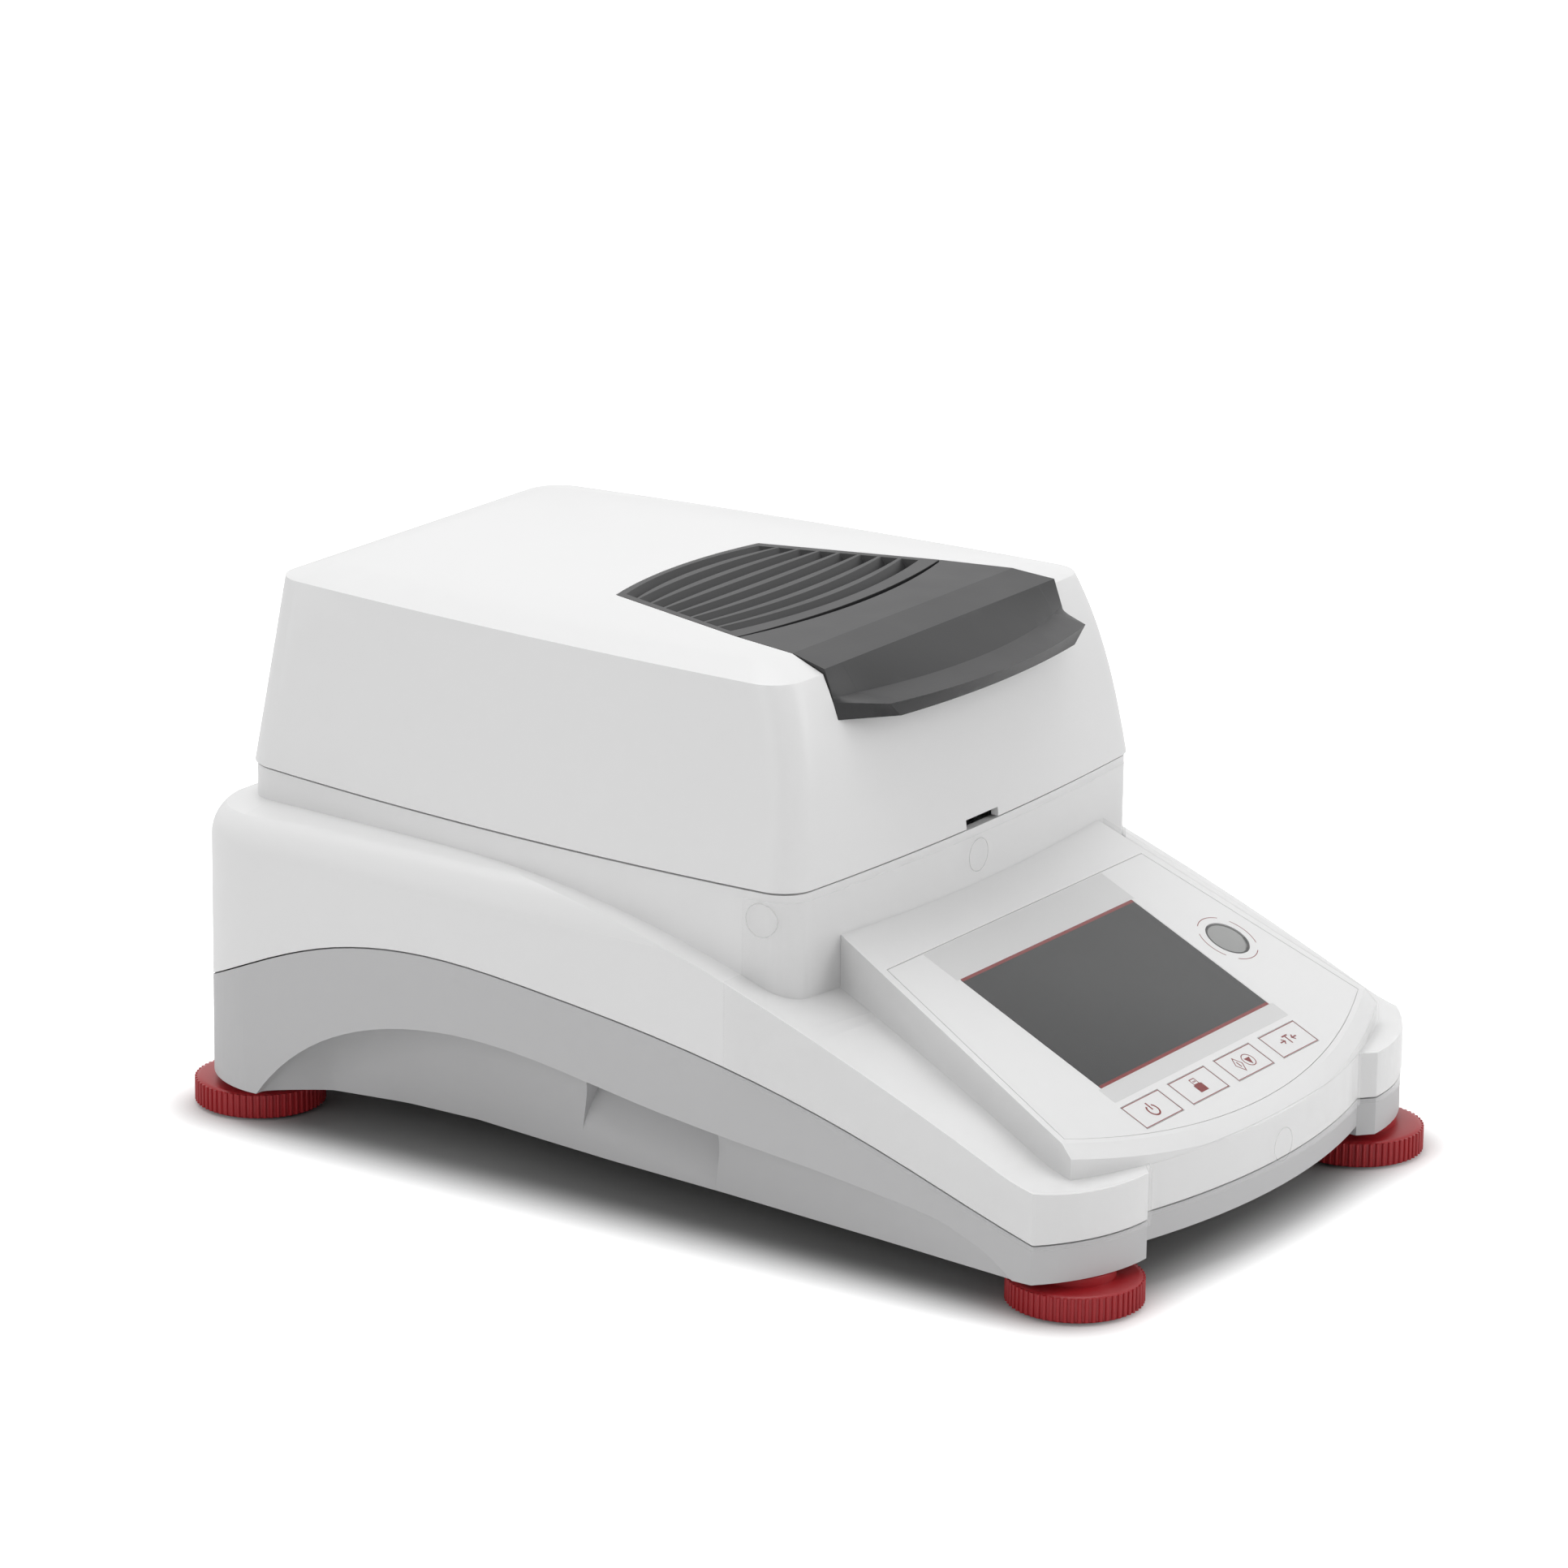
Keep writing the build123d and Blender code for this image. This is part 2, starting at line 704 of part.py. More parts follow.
with BuildPart() as pan_support:
    with BuildSketch(Plane.XY.offset(support_z)):
        with Locations((0, chamber_y)):
            Circle(support_hub)
            with PolarLocations(support_arm / 2, 3, start_angle=90):
                Rectangle(support_arm, support_bar)
    extrude(amount=support_thick)
    add(ring(stem_radius, 0, stem_bottom, support_z, 0, chamber_y))
save(pan_support, "pan_support")

pan_floor = support_z + support_thick + pan_seat
with BuildPart() as sample_pan:
    with BuildSketch(Plane.XZ):
        with BuildLine():
            Polyline((0, pan_floor), (pan_radius - 2, pan_floor), (pan_radius, pan_floor + pan_height - pan_wall),
                     (pan_rim, pan_floor + pan_height - pan_wall), (pan_rim, pan_floor + pan_height),
                     (pan_radius - pan_wall, pan_floor + pan_height), (pan_radius - 2 - pan_wall, pan_floor + pan_wall),
                     (0, pan_floor + pan_wall), close=True)
        make_face()
    revolve(axis=Axis.Z)
sample_pan.part = sample_pan.part.moved(Location((0, chamber_y, 0)))
save(sample_pan, "sample_pan")

with BuildPart() as pan_handler:
    add(ring(handler_outer, handler_inner, handler_z, handler_z + handler_thick, 0, chamber_y))
    with BuildSketch(Plane.XY.offset(handler_z)):
        with Locations((0, chamber_y - handler_outer - handler_grip / 2 + 1)):
            Rectangle(handle_slot - 4, handler_grip)
    extrude(amount=handler_thick)
    with Locations((0, chamber_y, handler_z)):
        with PolarLocations(handler_outer - 1.2, 3, start_angle=30):
            Cylinder(1.0, handler_z - tray_floor - sheet - fit, align=(Align.CENTER, Align.CENTER, Align.MAX))
save(pan_handler, "pan_handler")

with BuildPart() as load_cell:
    with BuildSketch(Plane.YZ.offset(-cell_width / 2)):
        with Locations((chamber_y + cell_length / 2 - 8, cell_z)):
            Rectangle(cell_length, cell_height)
            with GridLocations(cell_bore * 1.6, 0, 2, 1):
                Circle(cell_bore / 2, mode=Mode.SUBTRACT)
            Rectangle(cell_bore * 1.6, cell_bore / 3, mode=Mode.SUBTRACT)
    extrude(amount=cell_width)
save(load_cell, "load_cell")

cell_fixed = chamber_y + cell_length - 8 - cell_foot / 2
with BuildPart() as cell_bracket:
    add(block(cell_width + 8, cell_foot, base_bottom + wall, cell_z - cell_height / 2, 0, cell_fixed))
    add(block(cell_width + 30, cell_foot + 10, base_bottom + wall, base_bottom + 2 * wall, 0, cell_fixed))
save(cell_bracket, "cell_bracket")

# Boards and rear wall
with BuildPart() as main_board:
    add(block(*main_board_size, board_z, board_z + board_thick, 0, main_board_y))
    low = board_z + board_thick
    add(block(chip[0], chip[0], low, low + chip[1], chip_x, main_board_y))
    add(block(plug_strip[0], plug_strip[1], low, low + plug_strip[2], plug_strip_at[0], main_board_y + plug_strip_at[1]))
save(main_board, "main_board")

with BuildPart() as power_board:
    x, y = power_board_at
    add(block(*power_board_size, board_z, board_z + board_thick, x, y))
    add(block(transformer[0], transformer[1], low, board_z + transformer[2], x + transformer_x, y))
    for side, (radius, height) in zip((1, -1), capacitors):
        add(ring(radius, 0, low, board_z + height, x + capacitor_x, y + side * capacitor_pitch / 2))
save(power_board, "power_board")

fan_front = rear_face - wall - fan_depth
with BuildPart() as fan_frame:
    with BuildSketch(Plane.XZ.offset(-fan_front - fan_depth)):
        with Locations((fan_x, fan_z)):
            RectangleRounded(fan_size, fan_size, 3)
            Circle(fan_size / 2 - 1.5, mode=Mode.SUBTRACT)
    extrude(amount=fan_depth)
    with BuildSketch(Plane.XZ.offset(-fan_front - fan_web)):
        with Locations((fan_x, fan_z)):
            Circle(fan_hub)
            Rectangle(fan_size - 2, fan_web)
            Rectangle(fan_web, fan_size - 2)
    extrude(amount=fan_web)
    with BuildSketch(Plane.XZ.offset(-fan_front - fan_depth + fan_web)):
        with Locations((fan_x, fan_z)):
            Circle(fan_shaft)
    extrude(amount=fan_depth - 2 * fan_web)
save(fan_frame, "fan_frame")

with BuildPart() as fan_rotor:
    hub_start = fan_front + fan_web + fan_gap
    hub_length = fan_depth - 2 * fan_web - 2 * fan_gap
    with BuildSketch(Plane.XZ.offset(-hub_start - hub_length)):
        with Locations((fan_x, fan_z)):
            Circle(fan_hub)
            with PolarLocations((fan_hub + fan_tip) / 2 - 0.5, blade_count):
                Rectangle(fan_tip - fan_hub + 1, blade_thick)
            Circle(fan_shaft + pin_clearance, mode=Mode.SUBTRACT)
    extrude(amount=hub_length)
save(fan_rotor, "fan_rotor")

with BuildPart() as mains_inlet:
    with BuildSketch(Plane.XZ.offset(-rear_face)):
        with Locations((inlet_x, rear_z)):
            RectangleRounded(inlet_width + 4, inlet_height + 4, 2)
    extrude(amount=-2)
    with BuildSketch(Plane.XZ.offset(-rear_face)):
        with Locations((inlet_x, rear_z)):
            Rectangle(inlet_width - 2 * fit, inlet_height - 2 * fit)
    extrude(amount=inlet_depth)
    with BuildSketch(Plane.XZ.offset(-rear_face - 2)):
        with Locations((inlet_x, rear_z)):
            Rectangle(inlet_width - 4, inlet_height - 4)
    extrude(amount=inlet_depth - 4, mode=Mode.SUBTRACT)
    with BuildSketch(Plane.XZ.offset(-rear_face)):
        with Locations((inlet_x, rear_z + 2), (inlet_x - 7, rear_z - 2), (inlet_x + 7, rear_z - 2)):
            Rectangle(2, 4)
    extrude(amount=inlet_depth - 4)
save(mains_inlet, "mains_inlet")

for name, (x, width, height) in zip(("serial_socket", "usb_device_socket", "usb_host_socket"), rear_sockets):
    with BuildPart() as socket:
        with BuildSketch(Plane.XZ.offset(-rear_face - 1)):
            with Locations((x, rear_z)):
                Rectangle(width, height)
        extrude(amount=socket_depth)
        with BuildSketch(Plane.XZ.offset(-rear_face - 1)):
            with Locations((x, rear_z)):
                Rectangle(width - 2 * sheet, height - 2 * sheet)
        extrude(amount=socket_depth - 2 * sheet, mode=Mode.SUBTRACT)
        with BuildSketch(Plane.XZ.offset(-rear_face)):
            with Locations((x, rear_z)):
                Rectangle(width * 0.6, height * 0.25)
        extrude(amount=socket_depth - 2 * sheet)
    save(socket, name)

with BuildPart() as housing_screws:
    for x, y in screw_places:
        add(ring(screw_head, 0, base_bottom + screw_sink - 2, base_bottom + screw_sink, x, y))
        add(ring(screw_shank - thread_clearance, 0, base_bottom + screw_sink, boss_joint + 12, x, y))
save(housing_screws, "housing_screws")

# Feet
with BuildPart() as foot_bushes:
    for x, y in foot_places:
        add(ring(bush_radius, stud_radius, base_bottom, bush_top, x, y))
save(foot_bushes, "foot_bushes")

for number, (x, y) in enumerate(foot_places, 1):
    with BuildPart() as wheel:
        with BuildSketch(Plane.XY.offset(wheel_bottom)):
            with Locations((x, y)):
                with BuildLine():
                    rim = []
                    for i in range(rib_count):
                        for part_turn, r in ((0.0, foot_radius), (0.5, foot_radius), (0.75, foot_radius - rib_depth)):
                            turn = 2 * pi * (i + part_turn) / rib_count
                            rim.append((x + r * cos(turn), y + r * sin(turn)))
                    Polyline(*rim, close=True)
                make_face()
        extrude(amount=foot_rim)
        add(ring(foot_hub, 0, wheel_bottom + foot_rim, base_bottom - fit, x, y))
        add(ring(stud_radius - thread_clearance, 0, base_bottom - fit, base_bottom + stud_length, x, y))
        add(ring(foot_pad_radius + fit, 0, wheel_bottom - 1, foot_pad_height + fit, x, y), mode=Mode.SUBTRACT)
        add(ring(pad_pin + pin_clearance, 0, 0, pad_pin_top + fit, x, y), mode=Mode.SUBTRACT)
    save(wheel, f"foot_wheel_{number}")
    with BuildPart() as pad:
        add(ring(foot_pad_radius, 0, 0, foot_pad_height, x, y))
        add(ring(pad_pin, 0, foot_pad_height, pad_pin_top, x, y))
    save(pad, f"foot_pad_{number}")

# Hinge
with BuildPart() as hinge_brackets:
    for side in (-hinge_x, hinge_x):
        add(block(hinge_length, bracket_depth, rear_foot, hinge_z - knuckle_radius - knuckle_gap, side, hinge_y))
        for x in (side - hinge_length / 2, side + lid_knuckle / 2 + knuckle_gap):
            with BuildSketch(Plane.YZ.offset(x)):
                with Locations((hinge_y, hinge_z)):
                    Circle(knuckle_radius)
                with Locations((hinge_y, (rear_foot + hinge_z) / 2)):
                    Rectangle(2 * knuckle_radius, hinge_z - rear_foot)
            extrude(amount=(hinge_length - lid_knuckle) / 2 - knuckle_gap)
        with BuildSketch(Plane.YZ.offset(side - hinge_length / 2)):
            with Locations((hinge_y, hinge_z)):
                Circle(pin_radius)
        extrude(amount=hinge_length, mode=Mode.SUBTRACT)
    add(base_form(), mode=Mode.SUBTRACT)
save(hinge_brackets, "hinge_brackets")

with BuildPart() as hinge_pins:
    for side in (-hinge_x, hinge_x):
        with BuildSketch(Plane.YZ.offset(side - hinge_length / 2)):
            with Locations((hinge_y, hinge_z)):
                Circle(pin_radius)
        extrude(amount=hinge_length)
save(hinge_pins, "hinge_pins")


def top_outline(inset, z):
    """Edge of the flat top of the lid."""
    return lid_outline(top_front_y + inset, 0.01, top_front_half - inset, top_mid_half - inset, top_rear_half - inset,
                       top_rear_y - inset, top_corner, top_corner, z)


def lid_form(inset, low, edge, high):
    """Body of the lid: drafted walls, then a shallow bevel up to the flat top."""
    with BuildPart() as form:
        with BuildPart(mode=Mode.PRIVATE) as walls:
            for step in range(4):
                add(lid_face(low + (edge - low) * step / 3, inset))
            loft()
        add(walls.part)
        with BuildPart(mode=Mode.PRIVATE) as bevel:
            add(lid_face(edge, inset))
            add(top_outline(0.0, high))
            loft(ruled=True)
        add(bevel.part)
    return form.part


def insert_face(inset, front, z):
    """Plan of the dark insert: tapered, with a bowed rear edge."""
    with BuildSketch(Plane.XY.offset(z)) as face:
        with BuildLine():
            rear = ThreePointArc((-grille_rear_half, grille_rear_y), (0, grille_rear_y + grille_rear_bow),
                                 (grille_rear_half, grille_rear_y))
            Polyline(rear @ 1, (gap_half, gap_y), (handle_half, handle_edge_y), (handle_half, front),
                     (-handle_half, front), (-handle_half, handle_edge_y), (-gap_half, gap_y), rear @ 0)
        make_face()
        if inset:
            offset(amount=-inset, kind=Kind.INTERSECTION)
    return face.sketch


def bowed_strip(rear_half, rear, rear_bow, front_half, front, front_bow, z):
    """Area between two bowed lines."""
    with BuildSketch(Plane.XY.offset(z)) as face:
        with BuildLine():
            back = ThreePointArc((-rear_half, rear), (0, rear + rear_bow), (rear_half, rear))
            near = ThreePointArc((-front_half, front), (0, front + front_bow), (front_half, front))
            Line(back @ 0, near @ 0)
            Line(back @ 1, near @ 1)
        make_face()
    return face.sketch


def lip_face(z, side_y, corner_half, corner_y, bow_y):
    """Plan of the handle's lip at one height."""
    with BuildSketch(Plane.XY.offset(z)) as face:
        with BuildLine():
            arc = ThreePointArc((-corner_half, corner_y), (0, bow_y), (corner_half, corner_y))
            Polyline(arc @ 1, (handle_half - fit, side_y), (handle_half - fit, handle_back_y),
                     (fit - handle_half, handle_back_y), (fit - handle_half, side_y), arc @ 0)
        make_face()
    return face.sketch


# Lid
lid_screw_places = [(sx * x, y) for x, y in ((72.0, -37.0), (58.0, 125.0)) for sx in (-1, 1)]
with BuildPart() as lid_space:
    add(lid_form(lid_wall, lid_bottom, lid_edge_z - 1.8, lid_top - 2.6))
    extrude(lid_face(lid_bottom, lid_wall), amount=-1)
    for x, y in lid_screw_places:
        add(ring(screw_boss, 0, shield_z + shield_thick, lid_top, x, y), mode=Mode.SUBTRACT)
    ledge = extrude(insert_face(-lid_wall, lip_bow_y, ledge_z), amount=insert_depth, mode=Mode.PRIVATE)
    ledge -= extrude(insert_face(ledge_width, lip_bow_y, ledge_z), amount=insert_depth, mode=Mode.PRIVATE)
    ledge &= block(2 * base_width, 200, 0, 2 * lid_top, 0, handle_back_y + 1 + 100)
    add(ledge, mode=Mode.SUBTRACT)

with BuildPart() as lid_shell:
    add(lid_form(0.0, lid_bottom, lid_edge_z, lid_top))
    add(lid_space.part, mode=Mode.SUBTRACT)
    extrude(insert_face(0.0, 2 * lip_bow_y, ledge_z + insert_depth / 2), amount=2 * insert_depth, mode=Mode.SUBTRACT)
    front_cut = extrude(insert_face(0.0, 2 * lip_bow_y, lip_bottom_z), amount=lid_top - lip_bottom_z, mode=Mode.PRIVATE)
    front_cut &= block(2 * base_width, 200, 0, 2 * lid_top, 0, handle_back_y - 100)
    add(front_cut, mode=Mode.SUBTRACT)
    add(block(2 * notch_half, 20, lid_bottom, lid_seam + notch_height, 0, -lid_front_y), mode=Mode.SUBTRACT)
    for x, y in lid_screw_places:
        add(ring(screw_shank, 0, shield_z, shield_z + lid_screw_length + 2, x, y), mode=Mode.SUBTRACT)
save(lid_shell, "lid_shell")

slot_pitch = (slot_rear_y - slot_front_y + slat_top) / slot_count
with BuildPart() as vent_grille:
    plate = extrude(insert_face(fit, lip_bow_y, ledge_z + insert_depth / 2), amount=insert_depth, mode=Mode.PRIVATE)
    plate &= extrude(bowed_strip(gap_half + 1, grille_rear_y + 15, 0.01, gap_half + 1, gap_y, -gap_bow, ledge_z), amount=3 * insert_depth,
                     mode=Mode.PRIVATE)
    add(plate)
    for i in range(slot_count):
        t = i / (slot_count - 1)
        low = slot_rear_y - i * slot_pitch
        taper = (slot_front_half - slot_rear_half) / (slot_rear_y - slot_front_y)
        bow = grille_rear_bow - (grille_rear_bow + gap_bow) * t
        near = low - slot_pitch + slat_top
        strip = bowed_strip(slot_rear_half + taper * (slot_rear_y - low), low, bow,
                            slot_rear_half + taper * (slot_rear_y - near), near, bow, lid_top)
        extrude(strip, amount=2 * insert_depth, dir=(0, -slat_lean, -1), mode=Mode.SUBTRACT)
save(vent_grille, "vent_grille")

with BuildPart() as handle_panel:
    with BuildSketch(Plane.YZ) as top_profile:
        with BuildLine():
            Polyline((60, lid_top), (handle_crease_y, lid_top), (handle_edge_y, handle_edge_z),
                     (handle_edge_y, handle_edge_z - insert_depth), (handle_crease_y, lid_top - insert_depth),
                     (60, lid_top - insert_depth), close=True)
        make_face()
    extrude(top_profile.sketch, amount=base_width, both=True)
    opening = extrude(insert_face(fit, 2 * lip_bow_y, 0), amount=2 * lid_top, mode=Mode.PRIVATE)
    add(opening, mode=Mode.INTERSECT)
    gap_front = bowed_strip(gap_half + 1, grille_rear_y + 20, 0.01, gap_half + 1, gap_y - gap_width, -gap_bow - gap_spread, 0)
    extrude(gap_front, amount=2 * lid_top, mode=Mode.SUBTRACT)
    with BuildPart(mode=Mode.PRIVATE) as steep:
        add(lip_face(handle_edge_z, handle_edge_y - 0.02, lip_corner_half, handle_edge_y - 0.03, handle_edge_y - 0.05))
        add(lip_face(lip_root_z, lip_root_y, lip_corner_half, lip_root_y - 3.0, lip_inner_y))
        loft(ruled=True)
    add(steep.part & opening)
    with BuildPart(mode=Mode.PRIVATE) as lip:
        add(lip_face(lip_root_z, lip_root_y, lip_corner_half, lip_root_y - 3.0, lip_inner_y))
        add(lip_face(lip_edge_z, lip_side_y, lip_corner_half, lip_corner_y, lip_bow_y))
        loft(ruled=True)
    add(lip.part & opening)
    with BuildPart(mode=Mode.PRIVATE) as under:
        add(lip_face(lip_edge_z, lip_side_y, lip_corner_half, lip_corner_y, lip_bow_y))
        add(lip_face(lip_bottom_z, lip_side_y - lip_flare, lip_corner_half - lip_corner_cut, lip_corner_y,
                     lip_bow_y + lip_undercut))
        loft(ruled=True)
    add(under.part & opening)
save(handle_panel, "handle_panel")

# Heater under the lid
with BuildPart() as heat_shield:
    extrude(lid_face(shield_z, lid_wall + fit), amount=shield_thick)
    add(ring(bezel_collar + fit, 0, shield_z - 1, shield_z + shield_thick + 1, 0, chamber_y), mode=Mode.SUBTRACT)
    for x, y in lid_screw_places:
        add(ring(screw_shank + fit, 0, shield_z - 1, shield_z + shield_thick + 1, x, y), mode=Mode.SUBTRACT)
save(heat_shield, "heat_shield")

with BuildPart() as glass_bezel:
    add(ring(bezel_flange, glass_radius - 3, shield_z - sheet, shield_z, 0, chamber_y))
    add(ring(bezel_collar, glass_radius + fit, shield_z, glass_z, 0, chamber_y))
save(glass_bezel, "glass_bezel")

with BuildPart() as heater_glass:
    add(ring(glass_radius, 0, shield_z, shield_z + glass_thick, 0, chamber_y))
save(heater_glass, "heater_glass")

with BuildPart() as halogen_lamp:
    with BuildSketch(Plane.XZ):
        with Locations((lamp_ring, lamp_z)):
            RegularPolygon(lamp_tube, 8)
    revolve(axis=Axis.Z)
    add(block(socket_width, 3 * lamp_tube, 0, lid_top, 0, lamp_ring), mode=Mode.SUBTRACT)
halogen_lamp.part = halogen_lamp.part.moved(Location((0, chamber_y, 0)))
save(halogen_lamp, "halogen_lamp")

with BuildPart() as lamp_socket:
    add(block(socket_width, 3 * lamp_tube, lamp_z - lamp_tube - 1, reflector_z, 0, chamber_y + lamp_ring))
save(lamp_socket, "lamp_socket")

with BuildPart() as reflector:
    add(ring(reflector_radius, 0, reflector_z, reflector_z + sheet, 0, chamber_y))
    add(ring(reflector_radius, reflector_radius - sheet, shield_z + shield_thick, reflector_z, 0, chamber_y))
save(reflector, "reflector")

with BuildPart() as temperature_sensor:
    add(ring(sensor_radius, 0, shield_z - 6, shield_z, sensor_place, chamber_y + sensor_place))
save(temperature_sensor, "temperature_sensor")

with BuildPart() as lid_screws:
    for x, y in lid_screw_places:
        add(ring(screw_head, 0, shield_z - 1.6, shield_z, x, y))
        add(ring(screw_shank - thread_clearance, 0, shield_z, shield_z + lid_screw_length, x, y))
save(lid_screws, "lid_screws")

with BuildPart() as lid_hinge_arms:
    for side in (-hinge_x, hinge_x):
        with BuildSketch(Plane.YZ.offset(side - lid_knuckle / 2)):
            with Locations((hinge_y, hinge_z)):
                Circle(knuckle_radius)
            with BuildLine():
                Polyline((hinge_y + knuckle_radius, hinge_z), (hinge_y + knuckle_radius, arm_top - 4),
                         (hinge_y - 1, arm_top), (arm_root, arm_top), (arm_root, lid_bottom + fit),
                         (hinge_y - knuckle_radius, lid_bottom + fit), (hinge_y - knuckle_radius, hinge_z), close=True)
            make_face()
            with Locations((hinge_y, hinge_z)):
                Circle(pin_radius + pin_clearance, mode=Mode.SUBTRACT)
        extrude(amount=lid_knuckle)
    add(lid_form(0.0, lid_bottom, lid_edge_z, lid_top), mode=Mode.SUBTRACT)
save(lid_hinge_arms, "lid_hinge_arms")
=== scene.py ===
"""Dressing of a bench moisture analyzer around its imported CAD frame.

Everything stands in the frame of the CAD. The classes below dress one
sub-assembly each; main builds them in order. Their sizes are in millimetres
where they say so, and meshes are in metres.
"""

import json
import logging
import math
from collections.abc import Callable, Sequence
from dataclasses import dataclass, field
from enum import Enum

import bmesh
import bpy
from mathutils import Matrix, Vector
from mathutils.bvhtree import BVHTree

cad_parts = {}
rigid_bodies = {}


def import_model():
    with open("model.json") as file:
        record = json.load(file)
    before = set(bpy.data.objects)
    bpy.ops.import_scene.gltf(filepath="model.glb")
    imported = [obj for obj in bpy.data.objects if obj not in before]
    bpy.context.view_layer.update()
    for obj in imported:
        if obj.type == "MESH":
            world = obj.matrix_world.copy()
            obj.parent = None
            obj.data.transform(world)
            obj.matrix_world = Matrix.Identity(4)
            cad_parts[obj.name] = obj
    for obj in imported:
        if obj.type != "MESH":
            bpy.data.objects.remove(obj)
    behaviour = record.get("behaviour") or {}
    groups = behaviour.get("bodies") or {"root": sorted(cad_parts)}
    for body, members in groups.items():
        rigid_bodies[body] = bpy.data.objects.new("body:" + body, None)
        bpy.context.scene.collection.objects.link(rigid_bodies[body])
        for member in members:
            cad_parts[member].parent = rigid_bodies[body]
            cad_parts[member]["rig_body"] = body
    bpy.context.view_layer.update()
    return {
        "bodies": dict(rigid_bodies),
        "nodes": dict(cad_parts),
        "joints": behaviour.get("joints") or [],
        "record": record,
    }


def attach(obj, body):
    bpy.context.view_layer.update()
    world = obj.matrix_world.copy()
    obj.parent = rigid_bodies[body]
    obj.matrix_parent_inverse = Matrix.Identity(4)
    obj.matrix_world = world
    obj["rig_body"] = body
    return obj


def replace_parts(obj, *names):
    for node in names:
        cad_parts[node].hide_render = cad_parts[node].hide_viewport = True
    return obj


LOG = logging.getLogger("moisture_analyzer")
MM = 0.001
WELD = 0.02 * MM
SLIVER = 0.01 * MM
LATHE_WELD = 0.002 * MM
LATHE_SLIVER = 0.001 * MM
FLAT = math.radians(0.4)

Place = tuple[float, float, float]
Outline = list[tuple[float, float]]
Icon = list[tuple[Outline, float, bool]]


class Surface(Enum):
    """Kinds of surface that the finishes are made from."""

    MOULDED = "moulded plastic"
    PRINT = "printed film"
    METAL = "brushed sheet"
    CLEAR = "clear formed sheet"
    GLASS = "glass"
    BOARD = "circuit board"


@dataclass(frozen=True)
class Finish:
    """One finish of the analyzer, as it is written into a material.

    The grain is the scale of its texture and the depth that texture's height in metres. The shift is how far
    the colour drifts over the surface. A clear finish has the alpha where it is seen face on, and edge_alpha
    more at a glancing angle, where its colour shows as a painted highlight. A larger veil keeps that rise
    closer to the edge.
    """

    name: str
    surface: Surface
    colour: tuple[float, float, float]
    slot: str
    roughness: float
    grain: float
    depth: float
    shift: float
    metallic: float = 0.0
    alpha: float = 1.0
    edge_alpha: float = 0.55
    specular: float = 0.5
    veil: float = 1.0


WHITE = Finish("white_moulding", Surface.MOULDED, (0.80, 0.80, 0.80), "white_plastic",
               roughness=0.34, grain=1600.0, depth=0.000012, shift=0.015)
GREY = Finish("grey_moulding", Surface.MOULDED, (0.52, 0.52, 0.525), "grey_plastic",
              roughness=0.5, grain=1500.0, depth=0.00002, shift=0.02)
DARK = Finish("dark_moulding", Surface.MOULDED, (0.03, 0.03, 0.031), "dark_plastic",
              roughness=0.42, grain=1300.0, depth=0.00003, shift=0.06, specular=0.4)
RED = Finish("red_moulding", Surface.MOULDED, (0.37, 0.011, 0.016), "red_plastic",
             roughness=0.38, grain=1200.0, depth=0.00003, shift=0.06)
BLACK = Finish("black_moulding", Surface.MOULDED, (0.02, 0.02, 0.021), "black_plastic",
               roughness=0.55, grain=1200.0, depth=0.00003, shift=0.08)
FILM = Finish("panel_film", Surface.PRINT, (0.80, 0.80, 0.80), "overlay_film",
              roughness=0.3, grain=2200.0, depth=0.000006, shift=0.01)
KEY = Finish("key_film", Surface.PRINT, (0.79, 0.79, 0.79), "key_film",
             roughness=0.3, grain=2200.0, depth=0.000006, shift=0.01)
RED_INK = Finish("red_ink", Surface.PRINT, (0.22, 0.018, 0.018), "overlay_film",
                 roughness=0.4, grain=2200.0, depth=0.000004, shift=0.04, specular=0.2)
GREY_INK = Finish("grey_ink", Surface.PRINT, (0.66, 0.66, 0.66), "overlay_film",
                  roughness=0.4, grain=2200.0, depth=0.000004, shift=0.03)
SCREEN = Finish("screen", Surface.PRINT, (0.034, 0.034, 0.035), "screen",
                roughness=0.4, grain=2600.0, depth=0.0000001, shift=0.02, specular=0.1)
STEEL = Finish("sheet_steel", Surface.METAL, (0.62, 0.62, 0.63), "steel",
               roughness=0.3, grain=90.0, depth=0.00001, shift=0.06, metallic=1.0)
ALUMINIUM = Finish("aluminium", Surface.METAL, (0.8, 0.8, 0.81), "aluminium_sheet",
                   roughness=0.35, grain=80.0, depth=0.00001, shift=0.05, metallic=1.0)
BRASS = Finish("brass", Surface.METAL, (0.72, 0.52, 0.22), "brass_bush",
               roughness=0.3, grain=90.0, depth=0.00001, shift=0.06, metallic=1.0)
MIRROR = Finish("reflector_sheet", Surface.METAL, (0.9, 0.9, 0.9), "mirror_sheet",
                roughness=0.08, grain=60.0, depth=0.000004, shift=0.02, metallic=1.0)
PANE = Finish("pane", Surface.GLASS, (0.93, 0.95, 0.96), "heater_pane",
              roughness=0.03, grain=400.0, depth=0.000001, shift=0.01, alpha=0.2)
LAMP = Finish("lamp_tube", Surface.GLASS, (0.92, 0.9, 0.84), "lamp_tube",
              roughness=0.12, grain=500.0, depth=0.000002, shift=0.02, alpha=0.55)
VIAL = Finish("vial", Surface.GLASS, (0.30, 0.305, 0.30), "vial",
              roughness=0.2, grain=500.0, depth=0.000001, shift=0.05, alpha=0.97, specular=0.3)
# Pale colour that shows mostly at a glancing angle, as along the cover's rounded edges: painted highlight.
CLEAR = Finish("clear_sheet", Surface.CLEAR, (0.88, 0.88, 0.88), "clear_plastic",
               roughness=0.1, grain=1500.0, depth=0.0000005, shift=0.01,
               alpha=0.01, edge_alpha=0.75, veil=4.0)
